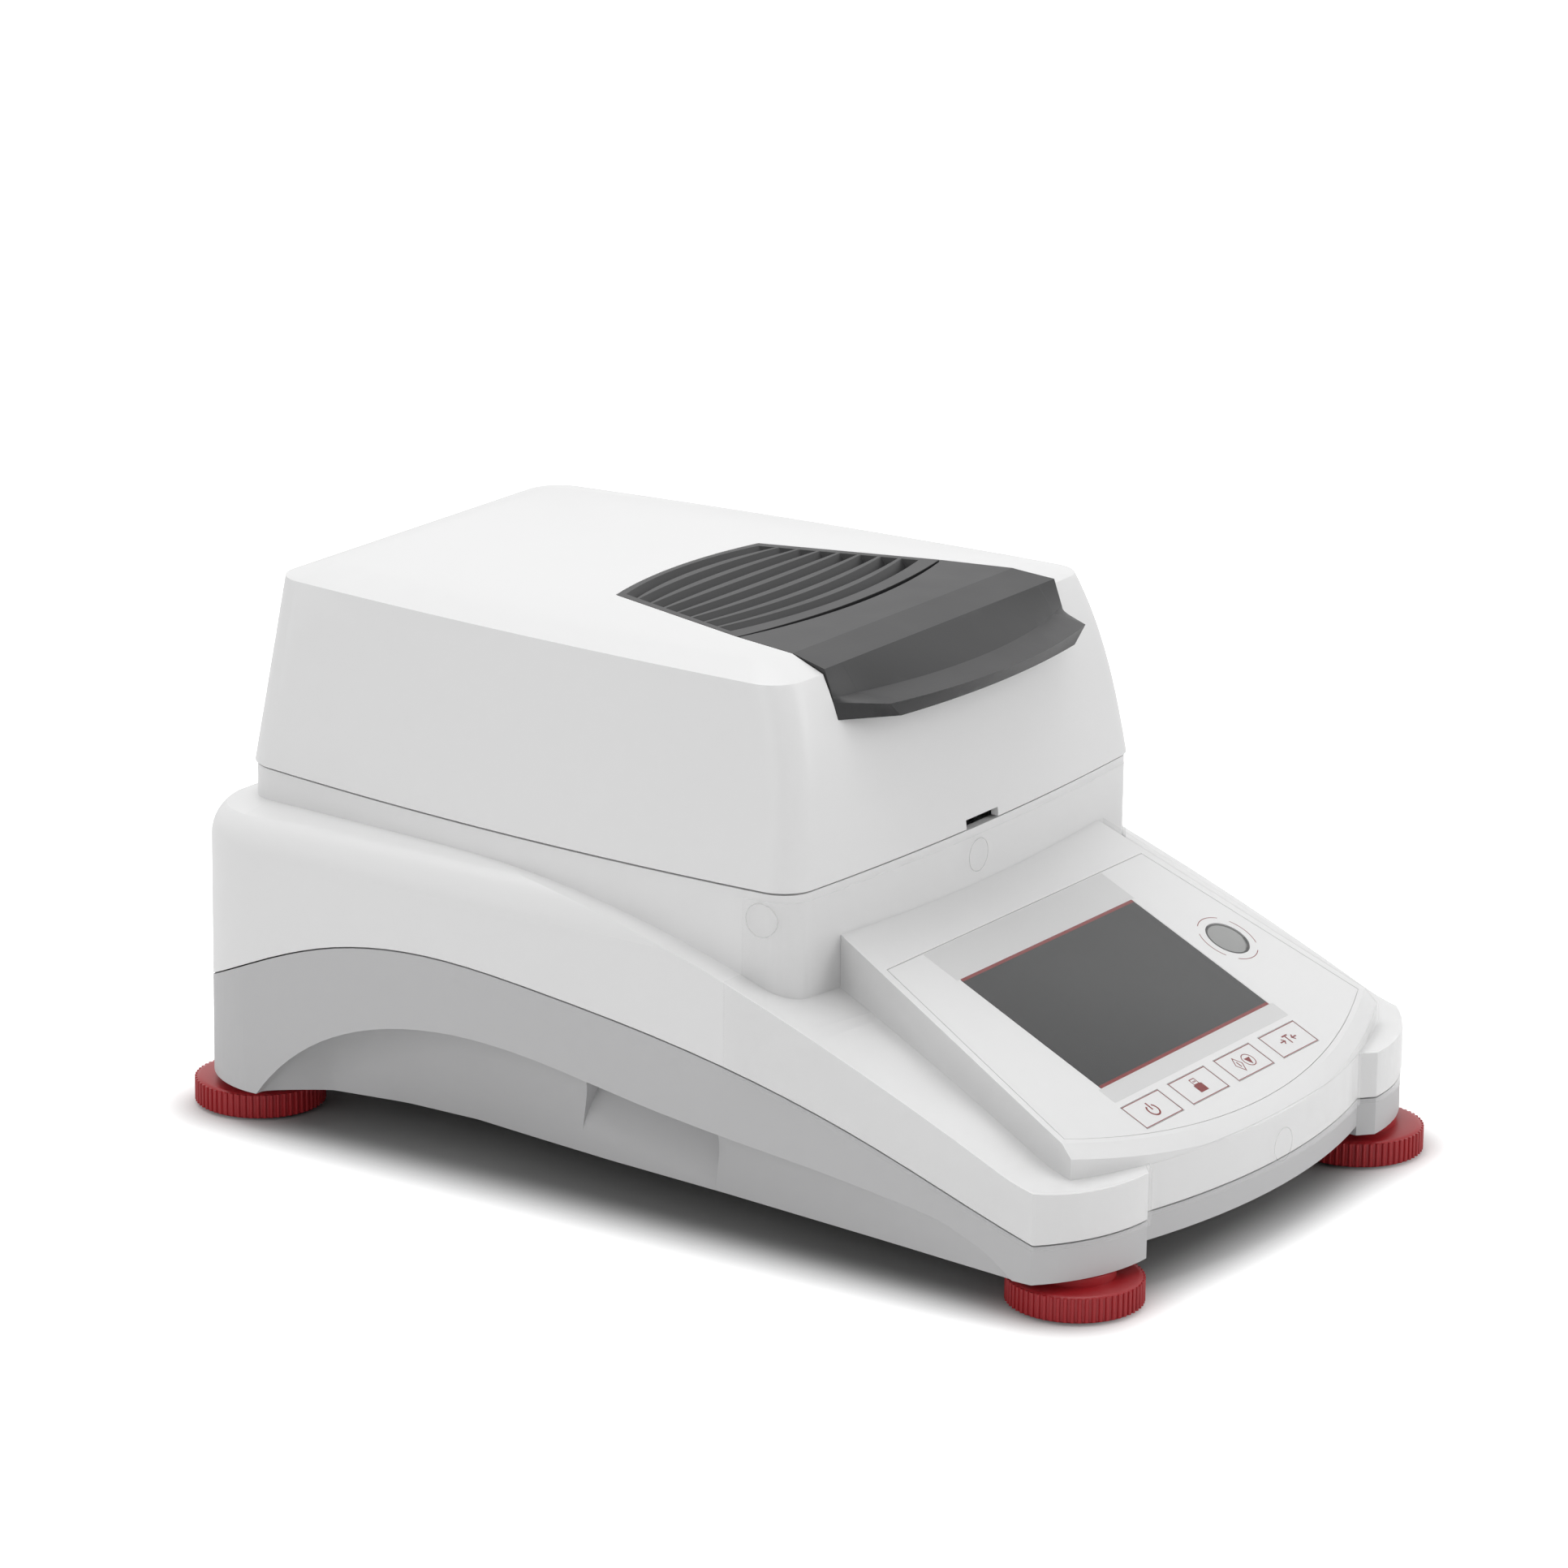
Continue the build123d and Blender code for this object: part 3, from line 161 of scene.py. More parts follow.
MARK = Finish("sheet_mark", Surface.PRINT, (0.5, 0.5, 0.5), "clear_plastic",
              roughness=0.3, grain=900.0, depth=0.000002, shift=0.02, alpha=0.16, edge_alpha=0.05)
# Dark arcs at the edge of the level's dome: painted shade, drawn as a print.
SHADE = Finish("vial_painted_shade", Surface.PRINT, (0.02, 0.02, 0.02), "vial",
               roughness=0.4, grain=500.0, depth=0.000001, shift=0.05, specular=0.2)
FILAMENT = Finish("filament", Surface.METAL, (0.35, 0.34, 0.33), "lamp_tube",
                  roughness=0.45, grain=300.0, depth=0.000002, shift=0.1, metallic=1.0)
GREEN = Finish("board", Surface.BOARD, (0.03, 0.18, 0.07), "circuit_board",
               roughness=0.45, grain=700.0, depth=0.00003, shift=0.1)
PAD = Finish("pad_rubber", Surface.MOULDED, (0.03, 0.03, 0.03), "rubber_pad",
             roughness=0.8, grain=900.0, depth=0.00005, shift=0.1)

NODE_FINISHES = {
    "lower_housing": GREY, "upper_housing": WHITE, "in_use_cover": CLEAR, "panel_overlay": FILM,
    "display_window": SCREEN, "display_module": BLACK, "key_power": KEY, "key_memory": KEY,
    "key_start_stop": KEY, "key_tare": KEY, "key_board": GREEN, "level_cup": BLACK, "level_vial": VIAL,
    "chamber_tray": STEEL, "draft_shield": ALUMINIUM, "pan_support": STEEL, "sample_pan": ALUMINIUM,
    "pan_handler": STEEL, "load_cell": ALUMINIUM, "cell_bracket": ALUMINIUM, "main_board": GREEN,
    "power_board": GREEN, "fan_frame": BLACK, "fan_rotor": BLACK, "mains_inlet": BLACK,
    "serial_socket": STEEL, "usb_device_socket": STEEL, "usb_host_socket": STEEL, "housing_screws": STEEL,
    "foot_bushes": BRASS, "hinge_brackets": STEEL, "hinge_pins": STEEL, "lid_shell": WHITE,
    "vent_grille": DARK, "handle_panel": DARK, "heat_shield": STEEL, "glass_bezel": STEEL,
    "heater_glass": PANE, "halogen_lamp": LAMP, "lamp_socket": WHITE, "reflector": MIRROR,
    "temperature_sensor": STEEL, "lid_screws": STEEL, "lid_hinge_arms": STEEL,
}


class ShaderGroups:
    """Node groups that several materials share, each built once."""

    def __init__(self) -> None:
        """Prepare the store of finished groups."""
        self._made: dict[str, bpy.types.NodeTree] = {}

    @staticmethod
    def _tree(name: str, inputs: dict[str, tuple[str, float]],
              outputs: dict[str, str]) -> bpy.types.NodeTree:
        """Start a shader group with its sockets.

        Args:
            name: Name of the group.
            inputs: Socket name to its type and default value.
            outputs: Socket name to its type.

        Returns:
            The node tree, with nodes for its input and output.
        """
        tree = bpy.data.node_groups.new(name, "ShaderNodeTree")
        for label, (kind, value) in inputs.items():
            socket = tree.interface.new_socket(label, in_out="INPUT", socket_type=kind)
            if kind == "NodeSocketFloat":
                socket.default_value = value
        for label, kind in outputs.items():
            tree.interface.new_socket(label, in_out="OUTPUT", socket_type=kind)
        tree.nodes.new("NodeGroupInput").name = "In"
        tree.nodes.new("NodeGroupOutput").name = "Out"
        return tree

    def grain(self) -> bpy.types.NodeTree:
        """Fine texture of a mould: gives a height and a roughness.

        Returns:
            The group, the same one each time.
        """
        if "grain" in self._made:
            return self._made["grain"]
        number, vector = "NodeSocketFloat", "NodeSocketVector"
        inputs = {"Vector": (vector, 0.0), "Scale": (number, 1000.0), "Roughness": (number, 0.4),
                  "Spread": (number, 0.06)}
        tree = self._tree("mould_grain", inputs, {"Height": number, "Roughness": number})
        links, nodes = tree.links, tree.nodes
        fine = nodes.new("ShaderNodeTexNoise")
        fine.inputs["Detail"].default_value = 3.0
        broad = nodes.new("ShaderNodeTexNoise")
        broad.inputs["Scale"].default_value = 45.0
        reach = nodes.new("ShaderNodeMapRange")
        low = nodes.new("ShaderNodeMath")
        low.operation = "SUBTRACT"
        high = nodes.new("ShaderNodeMath")
        high.operation = "ADD"
        links.new(nodes["In"].outputs["Vector"], fine.inputs["Vector"])
        links.new(nodes["In"].outputs["Vector"], broad.inputs["Vector"])
        links.new(nodes["In"].outputs["Scale"], fine.inputs["Scale"])
        for step in (low, high):
            links.new(nodes["In"].outputs["Roughness"], step.inputs[0])
            links.new(nodes["In"].outputs["Spread"], step.inputs[1])
        links.new(broad.outputs["Fac"], reach.inputs["Value"])
        links.new(low.outputs[0], reach.inputs["To Min"])
        links.new(high.outputs[0], reach.inputs["To Max"])
        links.new(fine.outputs["Fac"], nodes["Out"].inputs["Height"])
        links.new(reach.outputs["Result"], nodes["Out"].inputs["Roughness"])
        self._made["grain"] = tree
        return tree

    def tone(self) -> bpy.types.NodeTree:
        """Slight drift of a colour over the surface.

        Returns:
            The group, the same one each time.
        """
        if "tone" in self._made:
            return self._made["tone"]
        number, vector, colour = "NodeSocketFloat", "NodeSocketVector", "NodeSocketColor"
        inputs = {"Vector": (vector, 0.0), "Colour": (colour, 0.0), "Shift": (number, 0.03)}
        tree = self._tree("tone_drift", inputs, {"Colour": colour})
        links, nodes = tree.links, tree.nodes
        cloud = nodes.new("ShaderNodeTexNoise")
        cloud.inputs["Scale"].default_value = 14.0
        cloud.inputs["Detail"].default_value = 4.0
        centre = nodes.new("ShaderNodeMath")
        centre.operation = "SUBTRACT"
        centre.inputs[1].default_value = 0.5
        swing = nodes.new("ShaderNodeMath")
        swing.operation = "MULTIPLY_ADD"
        swing.inputs[2].default_value = 1.0
        shade = nodes.new("ShaderNodeVectorMath")
        shade.operation = "SCALE"
        links.new(nodes["In"].outputs["Vector"], cloud.inputs["Vector"])
        links.new(cloud.outputs["Fac"], centre.inputs[0])
        links.new(centre.outputs[0], swing.inputs[0])
        links.new(nodes["In"].outputs["Shift"], swing.inputs[1])
        links.new(nodes["In"].outputs["Colour"], shade.inputs[0])
        links.new(swing.outputs[0], shade.inputs["Scale"])
        links.new(shade.outputs[0], nodes["Out"].inputs["Colour"])
        self._made["tone"] = tree
        return tree


class Paintbox:
    """Turns each finish into one material."""

    def __init__(self) -> None:
        """Prepare the groups and the store of materials."""
        self.groups = ShaderGroups()
        self._made: dict[str, bpy.types.Material] = {}

    def material(self, finish: Finish) -> bpy.types.Material:
        """Material of a finish.

        Args:
            finish: The finish to make.

        Returns:
            Its material, the same one each time.
        """
        if finish.name in self._made:
            return self._made[finish.name]
        material = bpy.data.materials.new(finish.name)
        material.use_nodes = True
        tree = material.node_tree
        shader = tree.nodes["Principled BSDF"]
        place = tree.nodes.new("ShaderNodeTexCoord")
        vector = place.outputs["Object"]
        if finish.surface is Surface.METAL:
            stretch = tree.nodes.new("ShaderNodeMapping")
            stretch.inputs["Scale"].default_value = (1.0, 22.0, 22.0)
            tree.links.new(vector, stretch.inputs["Vector"])
            vector = stretch.outputs["Vector"]
        grain = tree.nodes.new("ShaderNodeGroup")
        grain.node_tree = self.groups.grain()
        grain.inputs["Scale"].default_value = finish.grain
        grain.inputs["Roughness"].default_value = finish.roughness
        grain.inputs["Spread"].default_value = 0.12 * finish.roughness
        tone = tree.nodes.new("ShaderNodeGroup")
        tone.node_tree = self.groups.tone()
        tone.inputs["Colour"].default_value = (*finish.colour, 1.0)
        tone.inputs["Shift"].default_value = finish.shift
        bump = tree.nodes.new("ShaderNodeBump")
        bump.inputs["Strength"].default_value = 0.5
        bump.inputs["Distance"].default_value = finish.depth
        tree.links.new(vector, grain.inputs["Vector"])
        tree.links.new(place.outputs["Object"], tone.inputs["Vector"])
        tree.links.new(grain.outputs["Height"], bump.inputs["Height"])
        tree.links.new(grain.outputs["Roughness"], shader.inputs["Roughness"])
        tree.links.new(tone.outputs["Colour"], shader.inputs["Base Color"])
        tree.links.new(bump.outputs["Normal"], shader.inputs["Normal"])
        shader.inputs["Metallic"].default_value = finish.metallic
        shader.inputs["Specular IOR Level"].default_value = finish.specular
        if finish.alpha < 1.0:
            self._see_through(tree, shader, finish)
        self._made[finish.name] = material
        return material

    @staticmethod
    def _see_through(tree: bpy.types.NodeTree, shader: bpy.types.Node,
                     finish: Finish) -> None:
        """Let the surface show what lies behind it, less so at a glancing angle, as a painted highlight.

        Args:
            tree: Node tree of the material.
            shader: Its Principled BSDF.
            finish: The finish with the alpha values.
        """
        # The rise of alpha at a glancing angle shows the surface's colour as painted highlight.
        facing = tree.nodes.new("ShaderNodeLayerWeight")
        facing.inputs["Blend"].default_value = 0.5 if finish.veil > 1.0 else 0.35
        steep = tree.nodes.new("ShaderNodeMath")
        steep.operation = "POWER"
        steep.inputs[1].default_value = finish.veil
        reach = tree.nodes.new("ShaderNodeMapRange")
        reach.inputs["To Min"].default_value = finish.alpha
        reach.inputs["To Max"].default_value = min(1.0, finish.alpha + finish.edge_alpha)
        tree.links.new(facing.outputs["Facing"], steep.inputs[0])
        tree.links.new(steep.outputs[0], reach.inputs["Value"])
        tree.links.new(reach.outputs["Result"], shader.inputs["Alpha"])


PAINT = Paintbox()


class GeometryRecipe:
    """A Geometry Nodes tree whose sizes are named inputs."""

    def __init__(self, name: str, sizes: dict[str, tuple[str, object]]) -> None:
        """Start the tree.

        Args:
            name: Name of the tree.
            sizes: Input name to its socket type and default value.
        """
        self.tree = bpy.data.node_groups.new(name, "GeometryNodeTree")
        face = self.tree.interface
        face.new_socket("Geometry", in_out="INPUT", socket_type="NodeSocketGeometry")
        self.keys: dict[str, str] = {}
        for label, (kind, value) in {**sizes, "Finish": ("NodeSocketMaterial", None)}.items():
            socket = face.new_socket(label, in_out="INPUT", socket_type=kind)
            if value is not None:
                socket.default_value = value
            self.keys[label] = socket.identifier
        face.new_socket("Geometry", in_out="OUTPUT", socket_type="NodeSocketGeometry")
        self.start = self.tree.nodes.new("NodeGroupInput")
        self.end = self.tree.nodes.new("NodeGroupOutput")

    def node(self, kind: str, **settings: object) -> bpy.types.Node:
        """Add a node with its settings."""
        made = self.tree.nodes.new(kind)
        for key, value in settings.items():
            setattr(made, key, value)
        return made

    def size(self, label: str) -> bpy.types.NodeSocket:
        """Socket that gives one of the tree's inputs."""
        return self.start.outputs[label]

    def link(self, source: bpy.types.NodeSocket, target: bpy.types.NodeSocket) -> None:
        """Join two sockets."""
        self.tree.links.new(source, target)

    def sum(self, kind: str, first: object, second: object) -> bpy.types.NodeSocket:
        """Math node on two sockets or numbers.

        Args:
            kind: Operation of the node.
            first: A socket or a number.
            second: A socket, a number or None.

        Returns:
            The result's socket.
        """
        made = self.node("ShaderNodeMath", operation=kind)
        for i, value in enumerate((first, second)):
            if isinstance(value, bpy.types.NodeSocket):
                self.link(value, made.inputs[i])
            elif value is not None:
                made.inputs[i].default_value = value
        return made.outputs[0]

    def finish(self, source: bpy.types.NodeSocket) -> None:
        """End the tree in Realize Instances and Set Material."""
        real = self.node("GeometryNodeRealizeInstances")
        coat = self.node("GeometryNodeSetMaterial")
        self.link(source, real.inputs[0])
        self.link(real.outputs[0], coat.inputs["Geometry"])
        self.link(self.size("Finish"), coat.inputs["Material"])
        self.link(coat.outputs[0], self.end.inputs[0])

    def bake(self, seed: bpy.types.Mesh, sizes: dict[str, object], finish: Finish,
             smooth: float) -> bpy.types.Mesh:
        """Run the tree and keep its result as a plain mesh.

        Args:
            seed: Mesh that the tree starts from.
            sizes: Input name to its value.
            finish: Finish of the result.
            smooth: Edges that bend by less than this many degrees are shaded smooth.

        Returns:
            The result.
        """
        holder = bpy.data.objects.new("holder", seed)
        bpy.context.scene.collection.objects.link(holder)
        modifier = holder.modifiers.new("recipe", "NODES")
        modifier.node_group = self.tree
        for label, value in {**sizes, "Finish": PAINT.material(finish)}.items():
            modifier[self.keys[label]] = value
        view = bpy.context.evaluated_depsgraph_get()
        mesh = bpy.data.meshes.new_from_object(holder.evaluated_get(view))
        holder.modifiers.remove(modifier)
        bpy.data.objects.remove(holder)
        mesh.shade_smooth()
        mesh.set_sharp_from_angle(angle=math.radians(smooth))
        return mesh


def lathe(profile: Outline, steps: int) -> bmesh.types.BMesh:
    """Turn a closed profile about the Z axis.

    Args:
        profile: Radius and height of each corner, in millimetres.
        steps: Number of steps round the axis.

    Returns:
        The closed form.
    """
    bm = bmesh.new()
    points = [bm.verts.new((radius * MM, 0.0, z * MM)) for radius, z in profile]
    edges = [bm.edges.new((a, b)) for a, b in zip(points, points[1:]) if max(a.co.x, b.co.x) > 0]
    if profile[0][0] > 0:
        edges.append(bm.edges.new((points[-1], points[0])))
    bmesh.ops.spin(bm, geom=points + edges, cent=(0, 0, 0), axis=(0, 0, 1), angle=math.tau,
                   steps=steps, use_merge=True)
    bmesh.ops.remove_doubles(bm, verts=bm.verts, dist=LATHE_WELD)
    bmesh.ops.dissolve_degenerate(bm, edges=bm.edges, dist=LATHE_SLIVER)
    bmesh.ops.recalc_face_normals(bm, faces=bm.faces)
    return bm


def held(value: float) -> float:
    """Value held between 0 and 1."""
    return min(max(value, 0.0), 1.0)


def dots(places: list[Place]) -> bpy.types.Mesh:
    """Mesh of single points, in millimetres, for a recipe to fill."""
    mesh = bpy.data.meshes.new("dots")
    mesh.from_pydata([Vector(place) * MM for place in places], [], [])
    return mesh


def put(obj: bpy.types.Object, finish: Finish) -> None:
    """Give an object one material."""
    obj.data.materials.clear()
    obj.data.materials.append(PAINT.material(finish))


def add_piece(name: str, mesh: bpy.types.Mesh, finish: Finish, body: str) -> bpy.types.Object:
    """Link a finished mesh as a piece that rides on a body.

    Args:
        name: Name of the piece.
        mesh: Its mesh, in place.
        finish: Its finish.
        body: The CAD body that it moves with.

    Returns:
        The new object.
    """
    obj = bpy.data.objects.new(name, mesh)
    bpy.context.scene.collection.objects.link(obj)
    put(obj, finish)
    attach(obj, body)
    LOG.info("piece %s rides on %s", name, body)
    return obj


def mesh_of(bm: bmesh.types.BMesh, name: str, smooth: float | None = None) -> bpy.types.Mesh:
    """Turn a bmesh into a mesh.

    Args:
        bm: The bmesh, which is freed.
        name: Name of the mesh.
        smooth: Edges that bend by less than this many degrees are shaded smooth.

    Returns:
        The mesh.
    """
    mesh = bpy.data.meshes.new(name)
    bm.to_mesh(mesh)
    bm.free()
    if smooth is not None:
        mesh.shade_smooth()
        mesh.set_sharp_from_angle(angle=math.radians(smooth))
    return mesh


def refine(frame: dict, node: str, finish: Finish, width: float, crease: float, steps: int = 2,
           shape: Callable[[bmesh.types.BMesh], None] | None = None) -> None:
    """Replace a CAD node by a welded copy with softened edges.

    Args:
        frame: The loaded frame.
        node: The CAD node.
        finish: Finish of the copy.
        width: Width of the softened edges, in metres.
        crease: Edges sharper than this many degrees are softened.
        steps: Number of facets across a softened edge.
        shape: What forms the copy further before its edges are softened.
    """
    bm = bmesh.new()
    bm.from_mesh(frame["nodes"][node].data)
    bmesh.ops.remove_doubles(bm, verts=bm.verts, dist=WELD)
    bmesh.ops.dissolve_degenerate(bm, edges=bm.edges, dist=SLIVER)
    bmesh.ops.dissolve_limit(bm, angle_limit=FLAT, verts=bm.verts, edges=bm.edges, delimit=set())
    if shape:
        shape(bm)
    mesh = mesh_of(bm, f"{node}_refined", crease)
    obj = add_piece(f"{node}_refined", mesh, finish, frame["nodes"][node]["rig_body"])
    soft = obj.modifiers.new("soft_edges", "BEVEL")
    soft.width = width
    soft.segments = steps
    soft.limit_method = "ANGLE"
    soft.angle_limit = math.radians(crease)
    soft.use_clamp_overlap = True
    soft.harden_normals = True
    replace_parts(obj, node)


@dataclass
class PanelPlane:
    """The sloping plane of the control panel, and the level's place on it."""

    tilt: float = math.radians(25.6)
    y: float = -113.6
    z: float = 66.2
    level_x: float = 61.7

    def at(self, x: float, s: float, lift: float) -> Vector:
        """Point on the panel.

        Args:
            x: Across, in millimetres.
            s: Up the slope from the middle, in millimetres.
            lift: Out of the panel, in millimetres.

        Returns:
            The point in the frame, in metres.
        """
        run, rise = math.cos(self.tilt), math.sin(self.tilt)
        return Vector((x, self.y + s * run - lift * rise, self.z + s * rise + lift * run)) * MM


@dataclass
class Print:
    """Thin printed shapes on the control panel, in millimetres."""

    plane: PanelPlane = field(default_factory=PanelPlane)
    low: float = 0.0
    high: float = 0.04
    mitre_limit: float = 0.4

    def slab(self, bm: bmesh.types.BMesh, outline: Outline) -> None:
        """Add one flat printed shape.

        Args:
            bm: Where it goes.
            outline: Corners in order, in millimetres on the panel.
        """
        top = [bm.verts.new(self.plane.at(x, s, self.high)) for x, s in outline]
        base = [bm.verts.new(self.plane.at(x, s, self.low)) for x, s in outline]
        bm.faces.new(top)
        bm.faces.new(list(reversed(base)))
        for i in range(len(top)):
            j = (i + 1) % len(top)
            bm.faces.new((top[i], base[i], base[j], top[j]))

    def stroke(self, bm: bmesh.types.BMesh, points: Outline, width: float,
               closed: bool = False) -> None:
        """Add a printed line of even width along some points.

        Args:
            bm: Where it goes.
            points: Points of its middle line, in millimetres.
            width: Width of the line, in millimetres.
            closed: True if the last point joins the first.
        """
        count = len(points)
        sides = []
        for i, (x, s) in enumerate(points):
            before = points[i - 1] if closed or i else points[i]
            after = points[(i + 1) % count] if closed or i < count - 1 else points[i]
            into = Vector((x - before[0], s - before[1]))
            out = Vector((after[0] - x, after[1] - s))
            into = into.normalized() if into.length else out.normalized()
            out = out.normalized() if out.length else into
            bend = (into + out).normalized()
            mitre = max(bend.dot(out), self.mitre_limit)
            reach = Vector((-bend.y, bend.x)) * (width / 2 / mitre)
            sides.append(((x + reach.x, s + reach.y), (x - reach.x, s - reach.y)))
        for i in range(count if closed else count - 1):
            (a, b), (c, d) = sides[i], sides[(i + 1) % count]
            self.slab(bm, [a, b, d, c])

    @staticmethod
    def arc(x: float, s: float, radius: float, start: float, end: float,
            steps: int = 24) -> Outline:
        """Points of an arc, from start to end in degrees."""
        turns = [math.radians(start + (end - start) * i / steps) for i in range(steps + 1)]
        return [(x + radius * math.cos(t), s + radius * math.sin(t)) for t in turns]


@dataclass
class ControlPanel:
    """Prints on the overlay and on the keys, in millimetres."""

    ink: Print = field(default_factory=Print)
    screen_x: float = -2.75
    screen_width: float = 96.0
    screen_height: float = 54.5
    border: float = 0.3
    rule_width: float = 1.1
    rule_lift: float = 0.06
    band_left: float = -52.4
    band_right: float = 47.1
    band_rear: float = 41.0
    band_front: float = -34.0
    mark_radius: float = 10.05
    mark_first: float = -35.0
    mark_span: float = 66.0
    mark_line: float = 0.25
    key_width: float = 20.4
    key_height: float = 10.2
    key_inset: float = 0.2
    key_row: float = -41.5
    key_first: float = -42.6
    key_pitch: float = 26.1
    key_line: float = 0.26
    icon_scale: float = 1.12
    icon_weight: float = 1.2

    def build(self) -> None:
        """Print the overlay and the keys."""
        self._bands()
        self._rules()
        self._level_marks()
        for i, (node, icon) in enumerate(self._icons().items()):
            self._key(node, self.key_first + i * self.key_pitch, icon)

    def _bands(self) -> None:
        """Pale grey fields above and below the screen."""
        bm = bmesh.new()
        half = self.screen_height / 2 + self.border
        left, right = self.band_left, self.band_right
        for front, rear in ((half, self.band_rear), (self.band_front, -half)):
            self.ink.slab(bm, [(left, front), (right, front), (right, rear), (left, rear)])
        add_piece("panel_bands", mesh_of(bm, "panel_bands"), GREY_INK, "base")

    def _rules(self) -> None:
        """Red lines along the top and bottom of the screen."""
        bm = bmesh.new()
        ink = Print(self.ink.plane, high=self.rule_lift)
        edge = (self.screen_height - self.rule_width) / 2 + self.border
        left, right = self.screen_x - self.screen_width / 2, self.screen_x + self.screen_width / 2
        for s in (edge, -edge):
            ink.stroke(bm, [(left, s), (right, s)], self.rule_width)
        add_piece("screen_rules", mesh_of(bm, "screen_rules"), RED_INK, "base")

    def _level_marks(self) -> None:
        """Four fine arcs round the level."""
        bm = bmesh.new()
        for quarter in range(4):
            start = self.mark_first + 90.0 * quarter
            mark = Print.arc(self.ink.plane.level_x, 0.0, self.mark_radius, start, start + self.mark_span)
            self.ink.stroke(bm, mark, self.mark_line)
        add_piece("level_marks", mesh_of(bm, "level_marks"), RED_INK, "base")

    def _key(self, node: str, x: float, icon: Icon) -> None:
        """Print one key's frame and icon.

        Args:
            node: The CAD node of the key, which is also the body that its print rides on.
            x: Middle of the key.
            icon: Outlines of the icon.
        """
        bm = bmesh.new()
        half, tall = self.key_width / 2 - self.key_inset, self.key_height / 2 - self.key_inset
        row = self.key_row
        corners = [(x - half, row - tall), (x + half, row - tall),
                   (x + half, row + tall), (x - half, row + tall)]
        self.ink.stroke(bm, corners, self.key_line, closed=True)
        for outline, width, closed in icon:
            placed = [(x + u * self.icon_scale, row + v * self.icon_scale) for u, v in outline]
            if width:
                self.ink.stroke(bm, placed, width * self.icon_weight, closed)
            else:
                self.ink.slab(bm, placed)
        add_piece(f"{node}_print", mesh_of(bm, f"{node}_print"), RED_INK, node)

    @staticmethod
    def _icons() -> dict[str, Icon]:
        """Icon of each key, drawn round the key's middle.

        Returns:
            Key node to its outlines, each with its line width, or 0 where it is filled, and whether it is
            closed.
        """
        arc = Print.arc
        power = [(arc(0.0, -0.3, 2.0, 125.0, 415.0), 0.5, False), ([(0.0, -0.2), (0.0, 2.6)], 0.5, False)]
        memory = [([(-1.9, -2.4), (1.9, -2.4), (1.9, 0.5), (-1.9, 0.5)], 0.0, True),
                  ([(-1.1, 0.6), (1.1, 0.6), (1.1, 2.6), (-1.1, 2.6)], 0.25, True),
                  ([(-0.5, 1.6), (-0.1, 1.6)], 0.5, False), ([(0.2, 1.6), (0.6, 1.6)], 0.5, False)]
        start = [([(-2.5, -2.6), (-0.9, 0.0), (-2.5, 2.6), (-4.1, 0.0)], 0.25, True),
                 ([(-2.5, -1.0), (-2.5, 1.0)], 0.35, False),
                 (arc(2.4, 0.0, 2.2, 0.0, 345.0), 0.25, True),
                 ([(2.4, -1.8), (3.7, 0.8), (1.1, 0.8)], 0.0, True)]
        tare = [([(0.0, -1.6), (0.0, 1.3)], 0.45, False), ([(-1.3, 1.5), (1.3, 1.5)], 0.45, False),
                ([(-4.0, 0.0), (-1.9, 0.0)], 0.4, False),
                ([(-2.7, 0.9), (-1.8, 0.0), (-2.7, -0.9)], 0.4, False),
                ([(4.0, 0.0), (1.9, 0.0)], 0.4, False),
                ([(2.7, 0.9), (1.8, 0.0), (2.7, -0.9)], 0.4, False)]
        return {"key_power": power, "key_memory": memory, "key_start_stop": start, "key_tare": tare}


